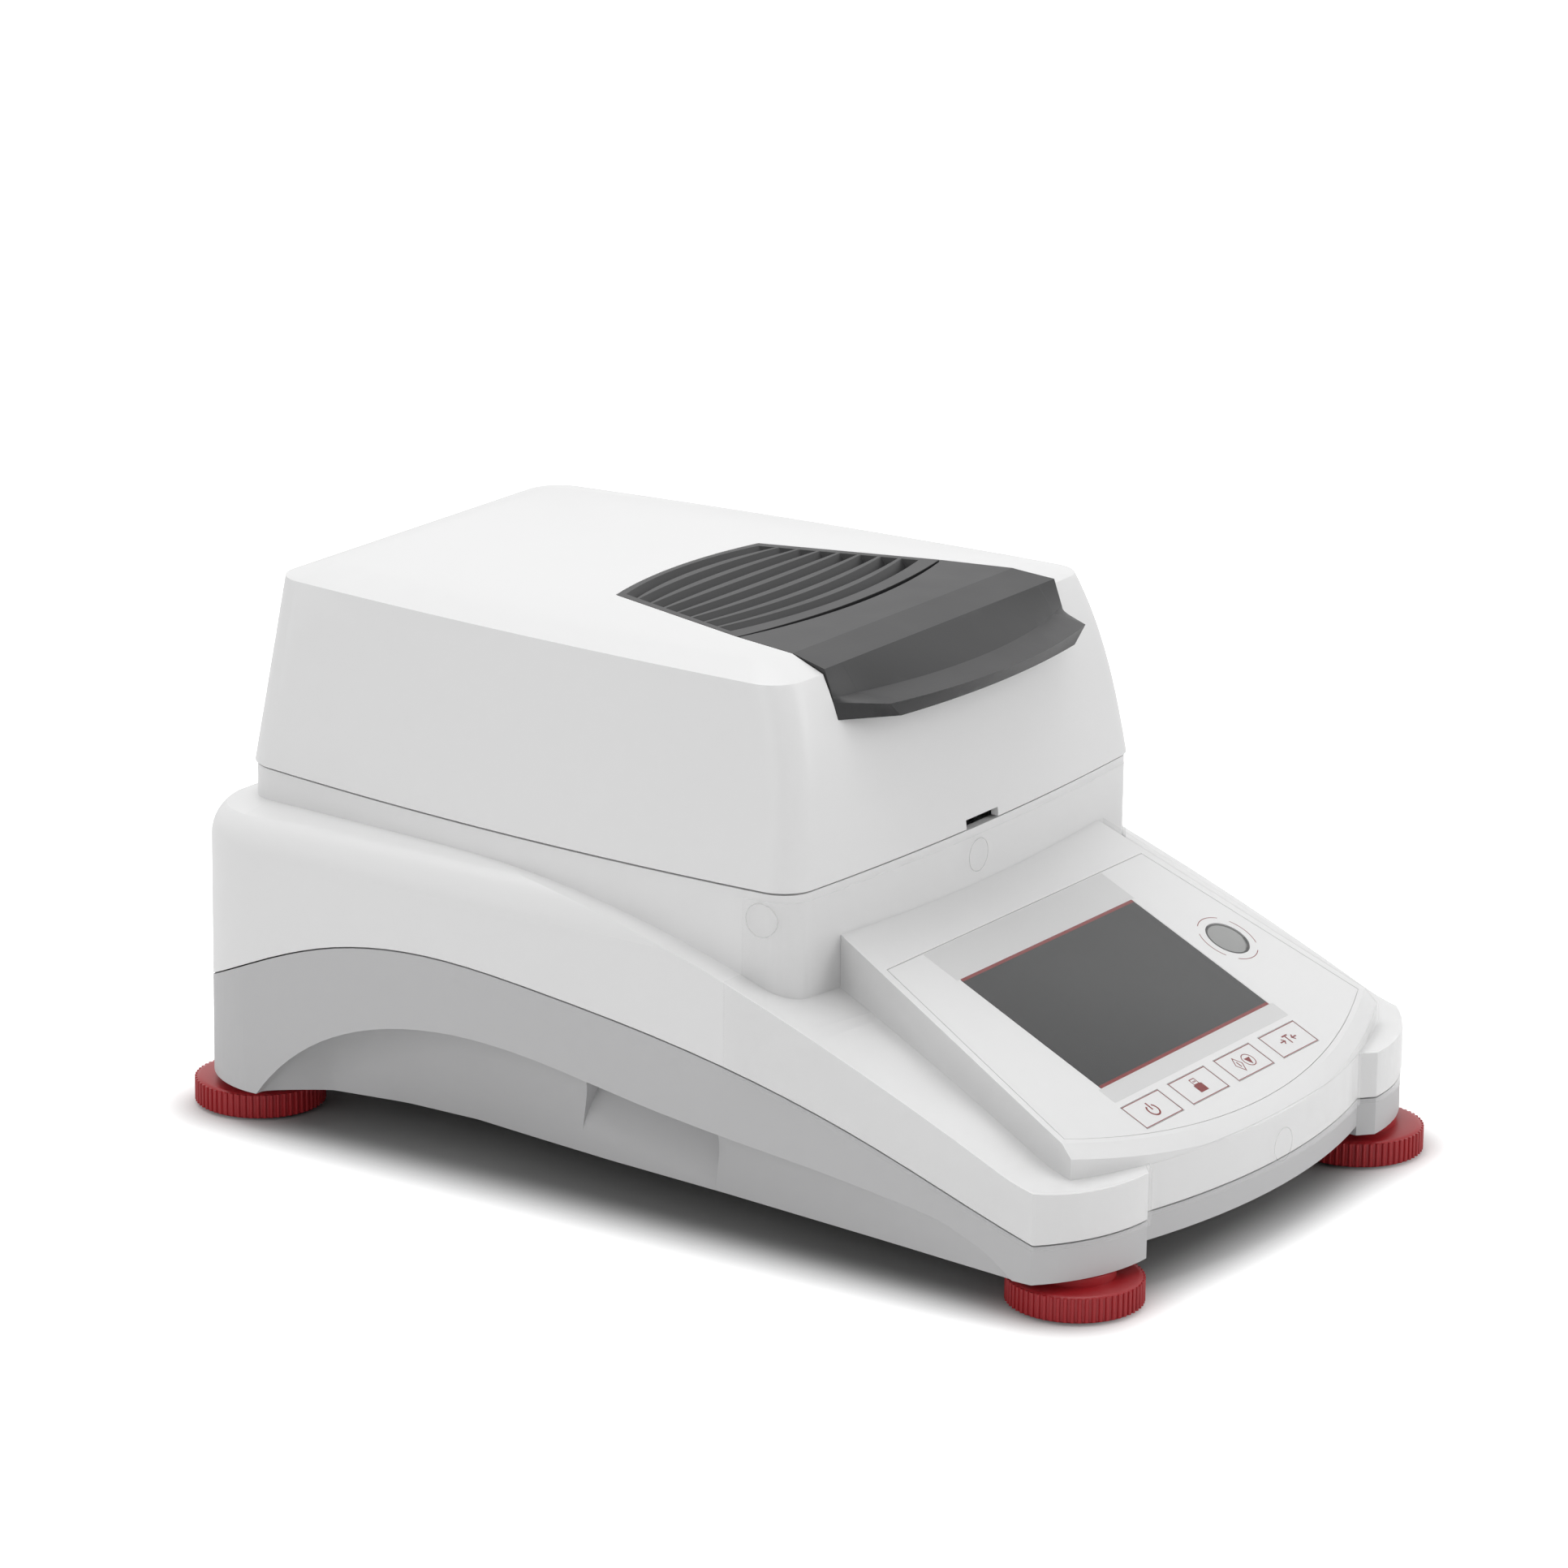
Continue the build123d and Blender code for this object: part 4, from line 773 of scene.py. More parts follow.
@dataclass
class SideForm:
    """Scooped sides of the lower housing, in millimetres.

    The scoop grows deeper towards the rear, and its grip fades out below. The first table gives the scoop's
    depth along the side, and the second how far its upper edge is lifted. From inner_skin to inner_wall,
    measured from the middle plane, the change fades to nothing, so that what stands inside the housing stays.
    """

    half: float = 105.0
    scoop: float = 18.0
    floor: float = 12.0
    first: float = -146.0
    last: float = 134.0
    cuts: int = 56
    depth: tuple[tuple[float, float], ...] = (
        (-160.0, 0.4), (-119.0, 3.6), (-78.0, 7.6), (-35.0, 11.8), (10.0, 15.2), (36.0, 18.0), (64.0, 21.3),
        (91.0, 20.9), (116.0, 16.8), (134.0, 7.0), (146.0, 0.4))
    lift: tuple[tuple[float, float], ...] = (
        (-146.0, 0.0), (-132.0, 4.0), (-118.0, 5.8), (-90.0, 3.6), (-48.0, 1.6), (-10.0, 0.3), (10.0, 0.0))
    above: float = 0.6
    inner_limit: float = 70.0
    inner_wall: float = 79.0
    inner_skin: float = 84.0
    side_gap: float = 0.15
    crease_limit: float = 60.0
    grip_middle: float = -7.5
    grip_half: float = 29.0
    grip_top: float = 36.2
    grip_height: float = 21.0
    grip_depth: float = 9.5
    grip_angle: float = 7.4
    grip_sag: tuple[float, float] = (0.55, 0.78)
    grip_skin: float = 1.2
    thinnest: float = 0.05

    def apply(self, bm: bmesh.types.BMesh) -> None:
        """Form both sides of the housing.

        Args:
            bm: The housing, in metres.
        """
        step = (self.last - self.first) / self.cuts
        places = [self.first + step * i for i in range(self.cuts + 1)]
        for y in places:
            bmesh.ops.bisect_plane(bm, geom=bm.verts[:] + bm.edges[:] + bm.faces[:], dist=SLIVER,
                                   plane_co=(0.0, y * MM, 0.0), plane_no=(0.0, 1.0, 0.0))
        crease = self._crease(bm, places)
        for vert in bm.verts:
            side = math.copysign(1.0, vert.co.x)
            across, y, z = abs(vert.co.x) / MM, vert.co.y / MM, vert.co.z / MM
            edge = self._read(crease, y)
            if not self.first < y < self.last or z > edge + self.above or across < self.inner_limit:
                continue
            vert.co.x = side * self._across(across, y, z) * MM
            if across > self.inner_skin:
                share = (z - self.floor) / max(edge - self.floor, 1.0)
                vert.co.z += self._read(self.lift, y) * held(share) * MM

    @staticmethod
    def _read(table: Sequence[tuple[float, float]], y: float) -> float:
        """Value of a table at a place along the side.

        Args:
            table: Places in order, each with its value.
            y: The place.

        Returns:
            The value between its neighbours, and past either end that end's value.
        """
        if y <= table[0][0]:
            return table[0][1]
        for (a, low), (b, high) in zip(table, table[1:]):
            if y <= b:
                return low + (high - low) * (y - a) / (b - a)
        return table[-1][1]

    def _crease(self, bm: bmesh.types.BMesh, places: list[float]) -> Outline:
        """Height of the scoop's upper edge.

        Args:
            bm: The housing, cut at each place.
            places: The cuts along the side.

        Returns:
            Each cut with the height there.
        """
        lowest = {round(y, 2): math.inf for y in places}
        for vert in bm.verts:
            key = round(vert.co.y / MM, 2)
            if abs(vert.co.x) / MM > self.half - self.side_gap and key in lowest:
                lowest[key] = min(lowest[key], vert.co.z / MM)
        return [(y, z) for y, z in sorted(lowest.items()) if z < self.crease_limit]

    def _across(self, across: float, y: float, z: float) -> float:
        """New distance of a point from the middle plane.

        Args:
            across: Its distance now.
            y: Its place along the side.
            z: Its height.

        Returns:
            The new distance.
        """
        inner = self.half - self.scoop
        shift = self.scoop - self._read(self.depth, y)
        if across >= inner:
            return across + shift * held((self.half - across) / self.scoop)
        if abs(y - self.grip_middle) < self.grip_half and across < inner - WELD / MM:
            return self._grip(inner - across, y, z, inner) + shift
        return across + shift * held((across - self.inner_wall) / (self.inner_skin - self.inner_wall))

    def _grip(self, deep: float, y: float, z: float, inner: float) -> float:
        """Distance of a point of the grip from the middle plane, before the scoop's own shift.

        Args:
            deep: Depth of the point behind the scoop.
            y: Its place along the side.
            z: Its height.
            inner: Distance of the scoop's root from the middle plane.

        Returns:
            The distance, faded out below where the point is on the outer skin of the grip.
        """
        turn = math.radians(self.grip_angle)
        down = (self.grip_top - z) * math.cos(turn) + (y - self.grip_middle) * math.sin(turn)
        part = held(down / self.grip_height)
        cad = self._grip_depth(part * self.grip_height)
        if deep >= cad + self.grip_skin:
            return inner - deep
        fade = self.grip_depth * (1.0 - part * part * (3.0 - 2.0 * part))
        return inner - deep * min(fade / max(cad, self.thinnest), 1.0)

    def _grip_depth(self, down: float) -> float:
        """Depth of the CAD's grip on the arc through its top, its sag and its foot.

        Args:
            down: Distance below the top of the grip.

        Returns:
            The depth there.
        """
        sag_down, sag_deep = self.grip_sag[0] * self.grip_height, self.grip_sag[1] * self.grip_depth
        first = self.grip_depth ** 2 - sag_down ** 2 - sag_deep ** 2
        second = self.grip_depth ** 2 - self.grip_height ** 2
        across = 2 * (self.grip_height * (self.grip_depth - sag_deep) - self.grip_depth * sag_down)
        middle_deep = (self.grip_height * first - sag_down * second) / across
        middle_down = (self.grip_height ** 2 - self.grip_depth ** 2 + 2 * self.grip_depth * middle_deep) / (
            2 * self.grip_height)
        radius = math.hypot(middle_down, self.grip_depth - middle_deep)
        return math.sqrt(radius ** 2 - (down - middle_down) ** 2) + middle_deep


@dataclass
class Housings:
    """The moulded housings, the lid and the dark insert in it."""

    frame: dict

    def build(self) -> None:
        """Soften the edges of each moulding."""
        refine(self.frame, "lower_housing", GREY, width=0.6 * MM, crease=30.0, shape=SideForm().apply)
        refine(self.frame, "upper_housing", WHITE, width=0.9 * MM, crease=24.0)
        refine(self.frame, "lid_shell", WHITE, width=0.9 * MM, crease=24.0)
        refine(self.frame, "handle_panel", DARK, width=0.5 * MM, crease=14.0)
        refine(self.frame, "vent_grille", DARK, width=0.15 * MM, crease=40.0)
        refine(self.frame, "in_use_cover", CLEAR, width=1.1 * MM, crease=24.0, steps=3)


@dataclass
class LevellingFeet:
    """The four red levelling wheels, with their fluted rims, in millimetres."""

    half_track: float = 81.7
    half_base: float = 150.0
    flutes: int = 60
    flute_sides: int = 10
    flute: float = 0.62
    flute_inset: float = 0.5
    rim: float = 20.5
    low: float = 0.6
    high: float = 8.9
    hub: float = 12.0
    hub_top: float = 11.7
    hub_edge: float = 0.4
    stud: float = 3.95
    stud_top: float = 34.0
    stud_edge: float = 0.5
    rim_edge: float = 0.6
    crown: tuple[tuple[float, float], ...] = ((1.4, 0.0), (0.4, 0.25), (0.0, 0.7))
    recess: float = 13.3
    recess_top: float = 2.3
    bore: float = 3.05
    bore_top: float = 7.3

    def build(self) -> None:
        """Make each wheel."""
        recipe = self._recipe()
        places = [(x * self.half_track, y * self.half_base) for y in (-1, 1) for x in (-1, 1)]
        for number, (x, y) in enumerate(places, 1):
            self._wheel(recipe, number, x, y)

    def _recipe(self) -> GeometryRecipe:
        """Tree that sets rounded flutes round a rim and adds them to the wheel.

        Returns:
            The recipe, which starts from the wheel without its flutes.
        """
        metre, whole = "NodeSocketFloat", "NodeSocketInt"
        recipe = GeometryRecipe("fluted_rim", {
            "Count": (whole, 60), "Rim": (metre, 0.02), "Flute": (metre, 0.0006), "Low": (metre, 0.0),
            "High": (metre, 0.008)})
        circle = recipe.node("GeometryNodeMeshCircle")
        bar = recipe.node("GeometryNodeMeshCylinder")
        bar.inputs["Vertices"].default_value = self.flute_sides
        lift = recipe.node("GeometryNodeTransform")
        place = recipe.node("ShaderNodeCombineXYZ")
        spread = recipe.node("GeometryNodeInstanceOnPoints")
        joined = recipe.node("GeometryNodeJoinGeometry")
        recipe.link(recipe.size("Count"), circle.inputs["Vertices"])
        recipe.link(recipe.sum("SUBTRACT", recipe.size("Rim"), recipe.size("Flute")), circle.inputs["Radius"])
        recipe.link(recipe.size("Flute"), bar.inputs["Radius"])
        recipe.link(recipe.sum("SUBTRACT", recipe.size("High"), recipe.size("Low")), bar.inputs["Depth"])
        middle = recipe.sum("MULTIPLY", recipe.sum("ADD", recipe.size("High"), recipe.size("Low")), 0.5)
        recipe.link(middle, place.inputs["Z"])
        recipe.link(bar.outputs["Mesh"], lift.inputs["Geometry"])
        recipe.link(place.outputs[0], lift.inputs["Translation"])
        recipe.link(circle.outputs["Mesh"], spread.inputs["Points"])
        recipe.link(lift.outputs[0], spread.inputs["Instance"])
        recipe.link(spread.outputs[0], joined.inputs[0])
        recipe.link(recipe.size("Geometry"), joined.inputs[0])
        recipe.finish(joined.outputs[0])
        return recipe

    def _wheel(self, recipe: GeometryRecipe, number: int, x: float, y: float) -> None:
        """Make one wheel with its hub and stud.

        Args:
            recipe: Tree that adds the flutes.
            number: Number of the foot.
            x: Its place across.
            y: Its place along the housing.
        """
        core = self.rim - self.flute
        profile = [(0.0, self.stud_top), (self.stud - self.stud_edge, self.stud_top),
                   (self.stud, self.stud_top - self.stud_edge), (self.stud, self.hub_top),
                   (self.hub - self.hub_edge, self.hub_top), (self.hub, self.hub_top - self.hub_edge),
                   (self.hub, self.high)]
        profile += [(core - inwards, self.high - down) for inwards, down in self.crown]
        profile += [(core, self.low + self.rim_edge), (core - self.rim_edge, self.low),
                    (self.recess, self.low), (self.recess, self.recess_top), (self.bore, self.recess_top),
                    (self.bore, self.bore_top), (0.0, self.bore_top)]
        seed = mesh_of(lathe(profile, 120), "wheel_core")
        sizes = {"Count": self.flutes, "Rim": self.rim * MM, "Flute": self.flute * MM,
                 "Low": (self.low + self.flute_inset) * MM, "High": (self.high - self.flute_inset) * MM}
        mesh = recipe.bake(seed, sizes, RED, 40.0)
        mesh.transform(Matrix.Translation((x * MM, y * MM, 0.0)))
        wheel = add_piece(f"levelling_wheel_{number}", mesh, RED, f"foot_wheel_{number}")
        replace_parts(wheel, f"foot_wheel_{number}")


@dataclass
class Fasteners:
    """Cross-head screws under the housing and in the lid, in millimetres.

    Each set's size is its heads' height and its shanks' length.
    """

    housing_places: tuple[Place, ...] = ((72.0, -126.0, 16.0), (72.0, 126.0, 16.0))
    housing_size: tuple[float, float] = (2.0, 24.0)
    lid_places: tuple[Place, ...] = ((72.0, -37.0, 112.4), (58.0, 125.0, 112.4))
    lid_size: tuple[float, float] = (1.6, 12.0)
    head: float = 3.0
    shank: float = 1.7
    cross: float = 3.4
    slot: float = 0.8
    recess: float = 0.9

    def build(self) -> None:
        """Make both sets of screws."""
        recipe = self._recipe()
        self._set(recipe, "housing_screws", self.housing_places, self.housing_size, "base")
        self._set(recipe, "lid_screws", self.lid_places, self.lid_size, "lid")

    def _recipe(self) -> GeometryRecipe:
        """Tree that sets a cross-head screw on each point, its head downwards.

        Returns:
            The recipe, which starts from the points.
        """
        metre = "NodeSocketFloat"
        recipe = GeometryRecipe("cross_head_screw", {
            "Head": (metre, 0.003), "Head Height": (metre, 0.002), "Shank": (metre, 0.0017),
            "Length": (metre, 0.012), "Cross": (metre, 0.0034), "Slot": (metre, 0.0008),
            "Recess": (metre, 0.0009)})
        parts = []
        for radius, low, tall in (("Head", 0.0, "Head Height"), ("Shank", "Head Height", "Length")):
            rod = recipe.node("GeometryNodeMeshCylinder")
            rod.inputs["Vertices"].default_value = 32
            lift = recipe.node("GeometryNodeTransform")
            place = recipe.node("ShaderNodeCombineXYZ")
            start = recipe.size(low) if low else 0.0
            recipe.link(recipe.size(radius), rod.inputs["Radius"])
            recipe.link(recipe.size(tall), rod.inputs["Depth"])
            middle = recipe.sum("ADD", start, recipe.sum("MULTIPLY", recipe.size(tall), 0.5))
            recipe.link(middle, place.inputs["Z"])
            recipe.link(rod.outputs["Mesh"], lift.inputs["Geometry"])
            recipe.link(place.outputs[0], lift.inputs["Translation"])
            parts.append(lift.outputs[0])
        cut = recipe.node("GeometryNodeMeshBoolean", operation="DIFFERENCE")
        recipe.link(parts[0], cut.inputs["Mesh 1"])
        for wide, long in (("Cross", "Slot"), ("Slot", "Cross")):
            bar = recipe.node("GeometryNodeMeshCube")
            extent = recipe.node("ShaderNodeCombineXYZ")
            recipe.link(recipe.size(wide), extent.inputs["X"])
            recipe.link(recipe.size(long), extent.inputs["Y"])
            recipe.link(recipe.sum("MULTIPLY", recipe.size("Recess"), 2.0), extent.inputs["Z"])
            recipe.link(extent.outputs[0], bar.inputs["Size"])
            recipe.link(bar.outputs["Mesh"], cut.inputs["Mesh 2"])
        joined = recipe.node("GeometryNodeJoinGeometry")
        recipe.link(cut.outputs["Mesh"], joined.inputs[0])
        recipe.link(parts[1], joined.inputs[0])
        spread = recipe.node("GeometryNodeInstanceOnPoints")
        recipe.link(recipe.size("Geometry"), spread.inputs["Points"])
        recipe.link(joined.outputs[0], spread.inputs["Instance"])
        recipe.finish(spread.outputs[0])
        return recipe

    def _set(self, recipe: GeometryRecipe, node: str, places: Sequence[Place],
             size: tuple[float, float], body: str) -> None:
        """Make one set of screws in place of its CAD node.

        Args:
            recipe: Tree that makes a screw on each point.
            node: The CAD node.
            places: Undersides of the heads on the right, which are mirrored to the left.
            size: Height of the heads and length of the shanks.
            body: The CAD body that they move with.
        """
        height, length = size
        sizes = {"Head": self.head * MM, "Head Height": height * MM, "Shank": self.shank * MM,
                 "Length": length * MM, "Cross": self.cross * MM, "Slot": self.slot * MM,
                 "Recess": self.recess * MM}
        both = [(side * x, y, z) for x, y, z in places for side in (-1, 1)]
        mesh = recipe.bake(dots(both), sizes, STEEL, 35.0)
        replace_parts(add_piece(f"{node}_cross_head", mesh, STEEL, body), node)


@dataclass
class Heater:
    """Halogen ring lamp in the lid, with its coiled filament, in millimetres and degrees."""

    centre: Place = (0.0, 12.0, 131.0)
    ring: float = 34.0
    gap: float = 17.6
    tube: float = 4.7
    tube_steps: int = 97
    tube_sides: int = 24
    coil: float = 0.9
    wire: float = 0.16
    wire_sides: int = 5
    turns: float = 130.0
    turn_steps: int = 12

    def build(self) -> None:
        """Make the tube and the filament in it."""
        recipe = self._recipe()
        first, last = math.radians(90.0 + self.gap), math.radians(450.0 - self.gap)
        shared = {"Ring": self.ring * MM, "Start": first, "End": last}
        glass = {"Coil": 0.0, "Turns": 0.0, "Wire": self.tube * MM, "Steps": self.tube_steps,
                 "Sides": self.tube_sides}
        metal = {"Coil": self.coil * MM, "Turns": self.turns, "Wire": self.wire * MM,
                 "Steps": int(self.turns * self.turn_steps) + 1, "Sides": self.wire_sides}
        tube = recipe.bake(dots([(0, 0, 0)]), {**shared, **glass}, LAMP, 50.0)
        wire = recipe.bake(dots([(0, 0, 0)]), {**shared, **metal}, FILAMENT, 60.0)
        for mesh in (tube, wire):
            mesh.transform(Matrix.Translation(Vector(self.centre) * MM))
        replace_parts(add_piece("lamp_ring", tube, LAMP, "lid"), "halogen_lamp")
        add_piece("lamp_filament", wire, FILAMENT, "lid")

    def _recipe(self) -> GeometryRecipe:
        """Tree that bends a coiled wire into an open ring.

        Returns:
            The recipe, which makes its own line and needs nothing of its seed.
        """
        metre, whole = "NodeSocketFloat", "NodeSocketInt"
        recipe = GeometryRecipe("ring_wire", {
            "Ring": (metre, 0.03), "Coil": (metre, 0.0), "Turns": (metre, 0.0), "Wire": (metre, 0.001),
            "Start": (metre, 0.0), "End": (metre, 6.0), "Steps": (whole, 96), "Sides": (whole, 12)})
        line = recipe.node("GeometryNodeCurvePrimitiveLine")
        even = recipe.node("GeometryNodeResampleCurve")
        recipe.link(line.outputs[0], even.inputs["Curve"])
        recipe.link(recipe.size("Steps"), even.inputs["Count"])
        along = recipe.node("GeometryNodeSplineParameter").outputs["Factor"]
        span = recipe.sum("SUBTRACT", recipe.size("End"), recipe.size("Start"))
        turn = recipe.sum("ADD", recipe.size("Start"), recipe.sum("MULTIPLY", along, span))
        phase = recipe.sum("MULTIPLY", recipe.sum("MULTIPLY", along, recipe.size("Turns")), math.tau)
        reach = recipe.sum("ADD", recipe.size("Ring"),
                           recipe.sum("MULTIPLY", recipe.size("Coil"), recipe.sum("COSINE", phase, None)))
        point = recipe.node("ShaderNodeCombineXYZ")
        recipe.link(recipe.sum("MULTIPLY", reach, recipe.sum("COSINE", turn, None)), point.inputs["X"])
        recipe.link(recipe.sum("MULTIPLY", reach, recipe.sum("SINE", turn, None)), point.inputs["Y"])
        height = recipe.sum("MULTIPLY", recipe.size("Coil"), recipe.sum("SINE", phase, None))
        recipe.link(height, point.inputs["Z"])
        bend = recipe.node("GeometryNodeSetPosition")
        recipe.link(even.outputs[0], bend.inputs["Geometry"])
        recipe.link(point.outputs[0], bend.inputs["Position"])
        section = recipe.node("GeometryNodeCurvePrimitiveCircle")
        recipe.link(recipe.size("Sides"), section.inputs["Resolution"])
        recipe.link(recipe.size("Wire"), section.inputs["Radius"])
        skin = recipe.node("GeometryNodeCurveToMesh")
        skin.inputs["Fill Caps"].default_value = True
        recipe.link(bend.outputs[0], skin.inputs["Curve"])
        recipe.link(section.outputs[0], skin.inputs["Profile Curve"])
        recipe.finish(skin.outputs[0])
        return recipe


@dataclass
class Fan:
    """Pitched blades and hub of the cooling fan, in millimetres and degrees."""

    place: Place = (52.0, 153.7, 66.0)
    length: float = 8.2
    hub: float = 8.0
    hub_edge: float = 0.6
    bore: float = 2.05
    blades: int = 7
    root: float = 7.5
    tip: float = 17.2
    thickness: float = 1.2
    depth: float = 7.4
    pitch: float = 36.0

    def build(self) -> None:
        """Make the rotor in place of the CAD node."""
        recipe = self._recipe()
        edge = self.hub - self.hub_edge
        profile = [(self.bore, 0.0), (edge, 0.0), (self.hub, self.hub_edge),
                   (self.hub, self.length - self.hub_edge), (edge, self.length), (self.bore, self.length)]
        seed = mesh_of(lathe(profile, 64), "fan_hub")
        sizes = {"Count": self.blades, "Root": self.root * MM, "Tip": self.tip * MM,
                 "Thickness": self.thickness * MM, "Depth": self.depth * MM,
                 "Pitch": math.radians(self.pitch), "Middle": self.length / 2 * MM}
        mesh = recipe.bake(seed, sizes, BLACK, 35.0)
        turn = Matrix.Rotation(-math.pi / 2, 4, "X")
        mesh.transform(Matrix.Translation(Vector(self.place) * MM) @ turn)
        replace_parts(add_piece("fan_blades", mesh, BLACK, "fan_rotor"), "fan_rotor")

    def _recipe(self) -> GeometryRecipe:
        """Tree that sets pitched blades round the hub.

        Returns:
            The recipe, which starts from the hub.
        """
        metre, whole = "NodeSocketFloat", "NodeSocketInt"
        recipe = GeometryRecipe("fan_blades", {
            "Count": (whole, 7), "Root": (metre, 0.008), "Tip": (metre, 0.017), "Thickness": (metre, 0.001),
            "Depth": (metre, 0.007), "Pitch": (metre, 0.6), "Middle": (metre, 0.004)})
        inner = recipe.sum("MULTIPLY", recipe.size("Root"), 0.5)
        circle = recipe.node("GeometryNodeMeshCircle")
        recipe.link(recipe.size("Count"), circle.inputs["Vertices"])
        recipe.link(inner, circle.inputs["Radius"])
        blade = recipe.node("GeometryNodeMeshCube")
        extent = recipe.node("ShaderNodeCombineXYZ")
        recipe.link(recipe.sum("SUBTRACT", recipe.size("Tip"), recipe.size("Root")), extent.inputs["X"])
        recipe.link(recipe.size("Thickness"), extent.inputs["Y"])
        recipe.link(recipe.size("Depth"), extent.inputs["Z"])
        recipe.link(extent.outputs[0], blade.inputs["Size"])
        lean = recipe.node("GeometryNodeTransform")
        angle = recipe.node("ShaderNodeCombineXYZ")
        shift = recipe.node("ShaderNodeCombineXYZ")
        middle = recipe.sum("MULTIPLY", recipe.sum("ADD", recipe.size("Root"), recipe.size("Tip")), 0.5)
        recipe.link(recipe.size("Pitch"), angle.inputs["X"])
        recipe.link(recipe.sum("SUBTRACT", middle, inner), shift.inputs["X"])
        recipe.link(recipe.size("Middle"), shift.inputs["Z"])
        recipe.link(blade.outputs["Mesh"], lean.inputs["Geometry"])
        recipe.link(angle.outputs[0], lean.inputs["Rotation"])
        recipe.link(shift.outputs[0], lean.inputs["Translation"])
        where = recipe.node("GeometryNodeInputPosition")
        split = recipe.node("ShaderNodeSeparateXYZ")
        recipe.link(where.outputs[0], split.inputs[0])
        facing = recipe.node("ShaderNodeCombineXYZ")
        recipe.link(recipe.sum("ARCTAN2", split.outputs["Y"], split.outputs["X"]), facing.inputs["Z"])
        spread = recipe.node("GeometryNodeInstanceOnPoints")
        recipe.link(circle.outputs["Mesh"], spread.inputs["Points"])
        recipe.link(lean.outputs[0], spread.inputs["Instance"])
        recipe.link(facing.outputs[0], spread.inputs["Rotation"])
        joined = recipe.node("GeometryNodeJoinGeometry")
        recipe.link(spread.outputs[0], joined.inputs[0])
        recipe.link(recipe.size("Geometry"), joined.inputs[0])
        recipe.finish(joined.outputs[0])
        return recipe


@dataclass
class CoverMarks:
    """Faint round gate marks that the mould leaves on the clear cover, in millimetres.

    Each mark has the place that it is laid from and the direction in which it is laid.
    """

    frame: dict
    marks: tuple[tuple[Place, Place], ...] = (((-2.6, -200.0, 100.0), (0.0, 1.0, 0.0)),
                                              ((-150.0, -48.6, 100.6), (1.0, 0.0, 0.0)),
                                              ((1.7, -220.0, 28.5), (0.0, 1.0, 0.0)))
    radius: float = 5.3
    line: float = 0.3
    steps: int = 48
    low: float = 0.02
    high: float = 0.08

    def build(self) -> None:
        """Lay each mark on the cover."""
        surface = self._surface()
        bm = bmesh.new()
        for place, aim in self.marks:
            self._ring(bm, surface, Vector(place) * MM, Vector(aim))
        add_piece("cover_marks", mesh_of(bm, "cover_marks", 60.0), MARK, "base")

    def _surface(self) -> BVHTree:
        """Tree of the cover's faces."""
        bm = bmesh.new()
        bm.from_mesh(self.frame["nodes"]["in_use_cover"].data)
        tree = BVHTree.FromBMesh(bm)
        bm.free()
        return tree

    def _ring(self, bm: bmesh.types.BMesh, surface: BVHTree, place: Vector,
              aim: Vector) -> None:
        """Add one ring, laid on the surface along a direction.

        Args:
            bm: Where it goes.
            surface: The cover's faces.
            place: Its middle, in front of the cover.
            aim: The direction.
        """
        up = Vector((0.0, 0.0, 1.0))
        side = aim.cross(up).normalized()
        loops = []
        for reach in (self.radius - self.line, self.radius):
            loop = []
            for step in range(self.steps):
                turn = math.tau * step / self.steps
                start = place + (side * math.cos(turn) + up * math.sin(turn)) * reach * MM
                hit, normal, _, _ = surface.ray_cast(start, aim)
                if hit is None:
                    return
                loop.append((hit + normal * self.low * MM, hit + normal * self.high * MM))
            loops.append(loop)
        inner, outer = [[[bm.verts.new(p) for p in pair] for pair in loop] for loop in loops]
        for i in range(self.steps):
            j = (i + 1) % self.steps
            bm.faces.new((inner[i][1], outer[i][1], outer[j][1], inner[j][1]))
            bm.faces.new((inner[i][0], inner[j][0], outer[j][0], outer[i][0]))
            bm.faces.new((outer[i][0], outer[j][0], outer[j][1], outer[i][1]))
            bm.faces.new((inner[i][0], inner[i][1], inner[j][1], inner[j][0]))


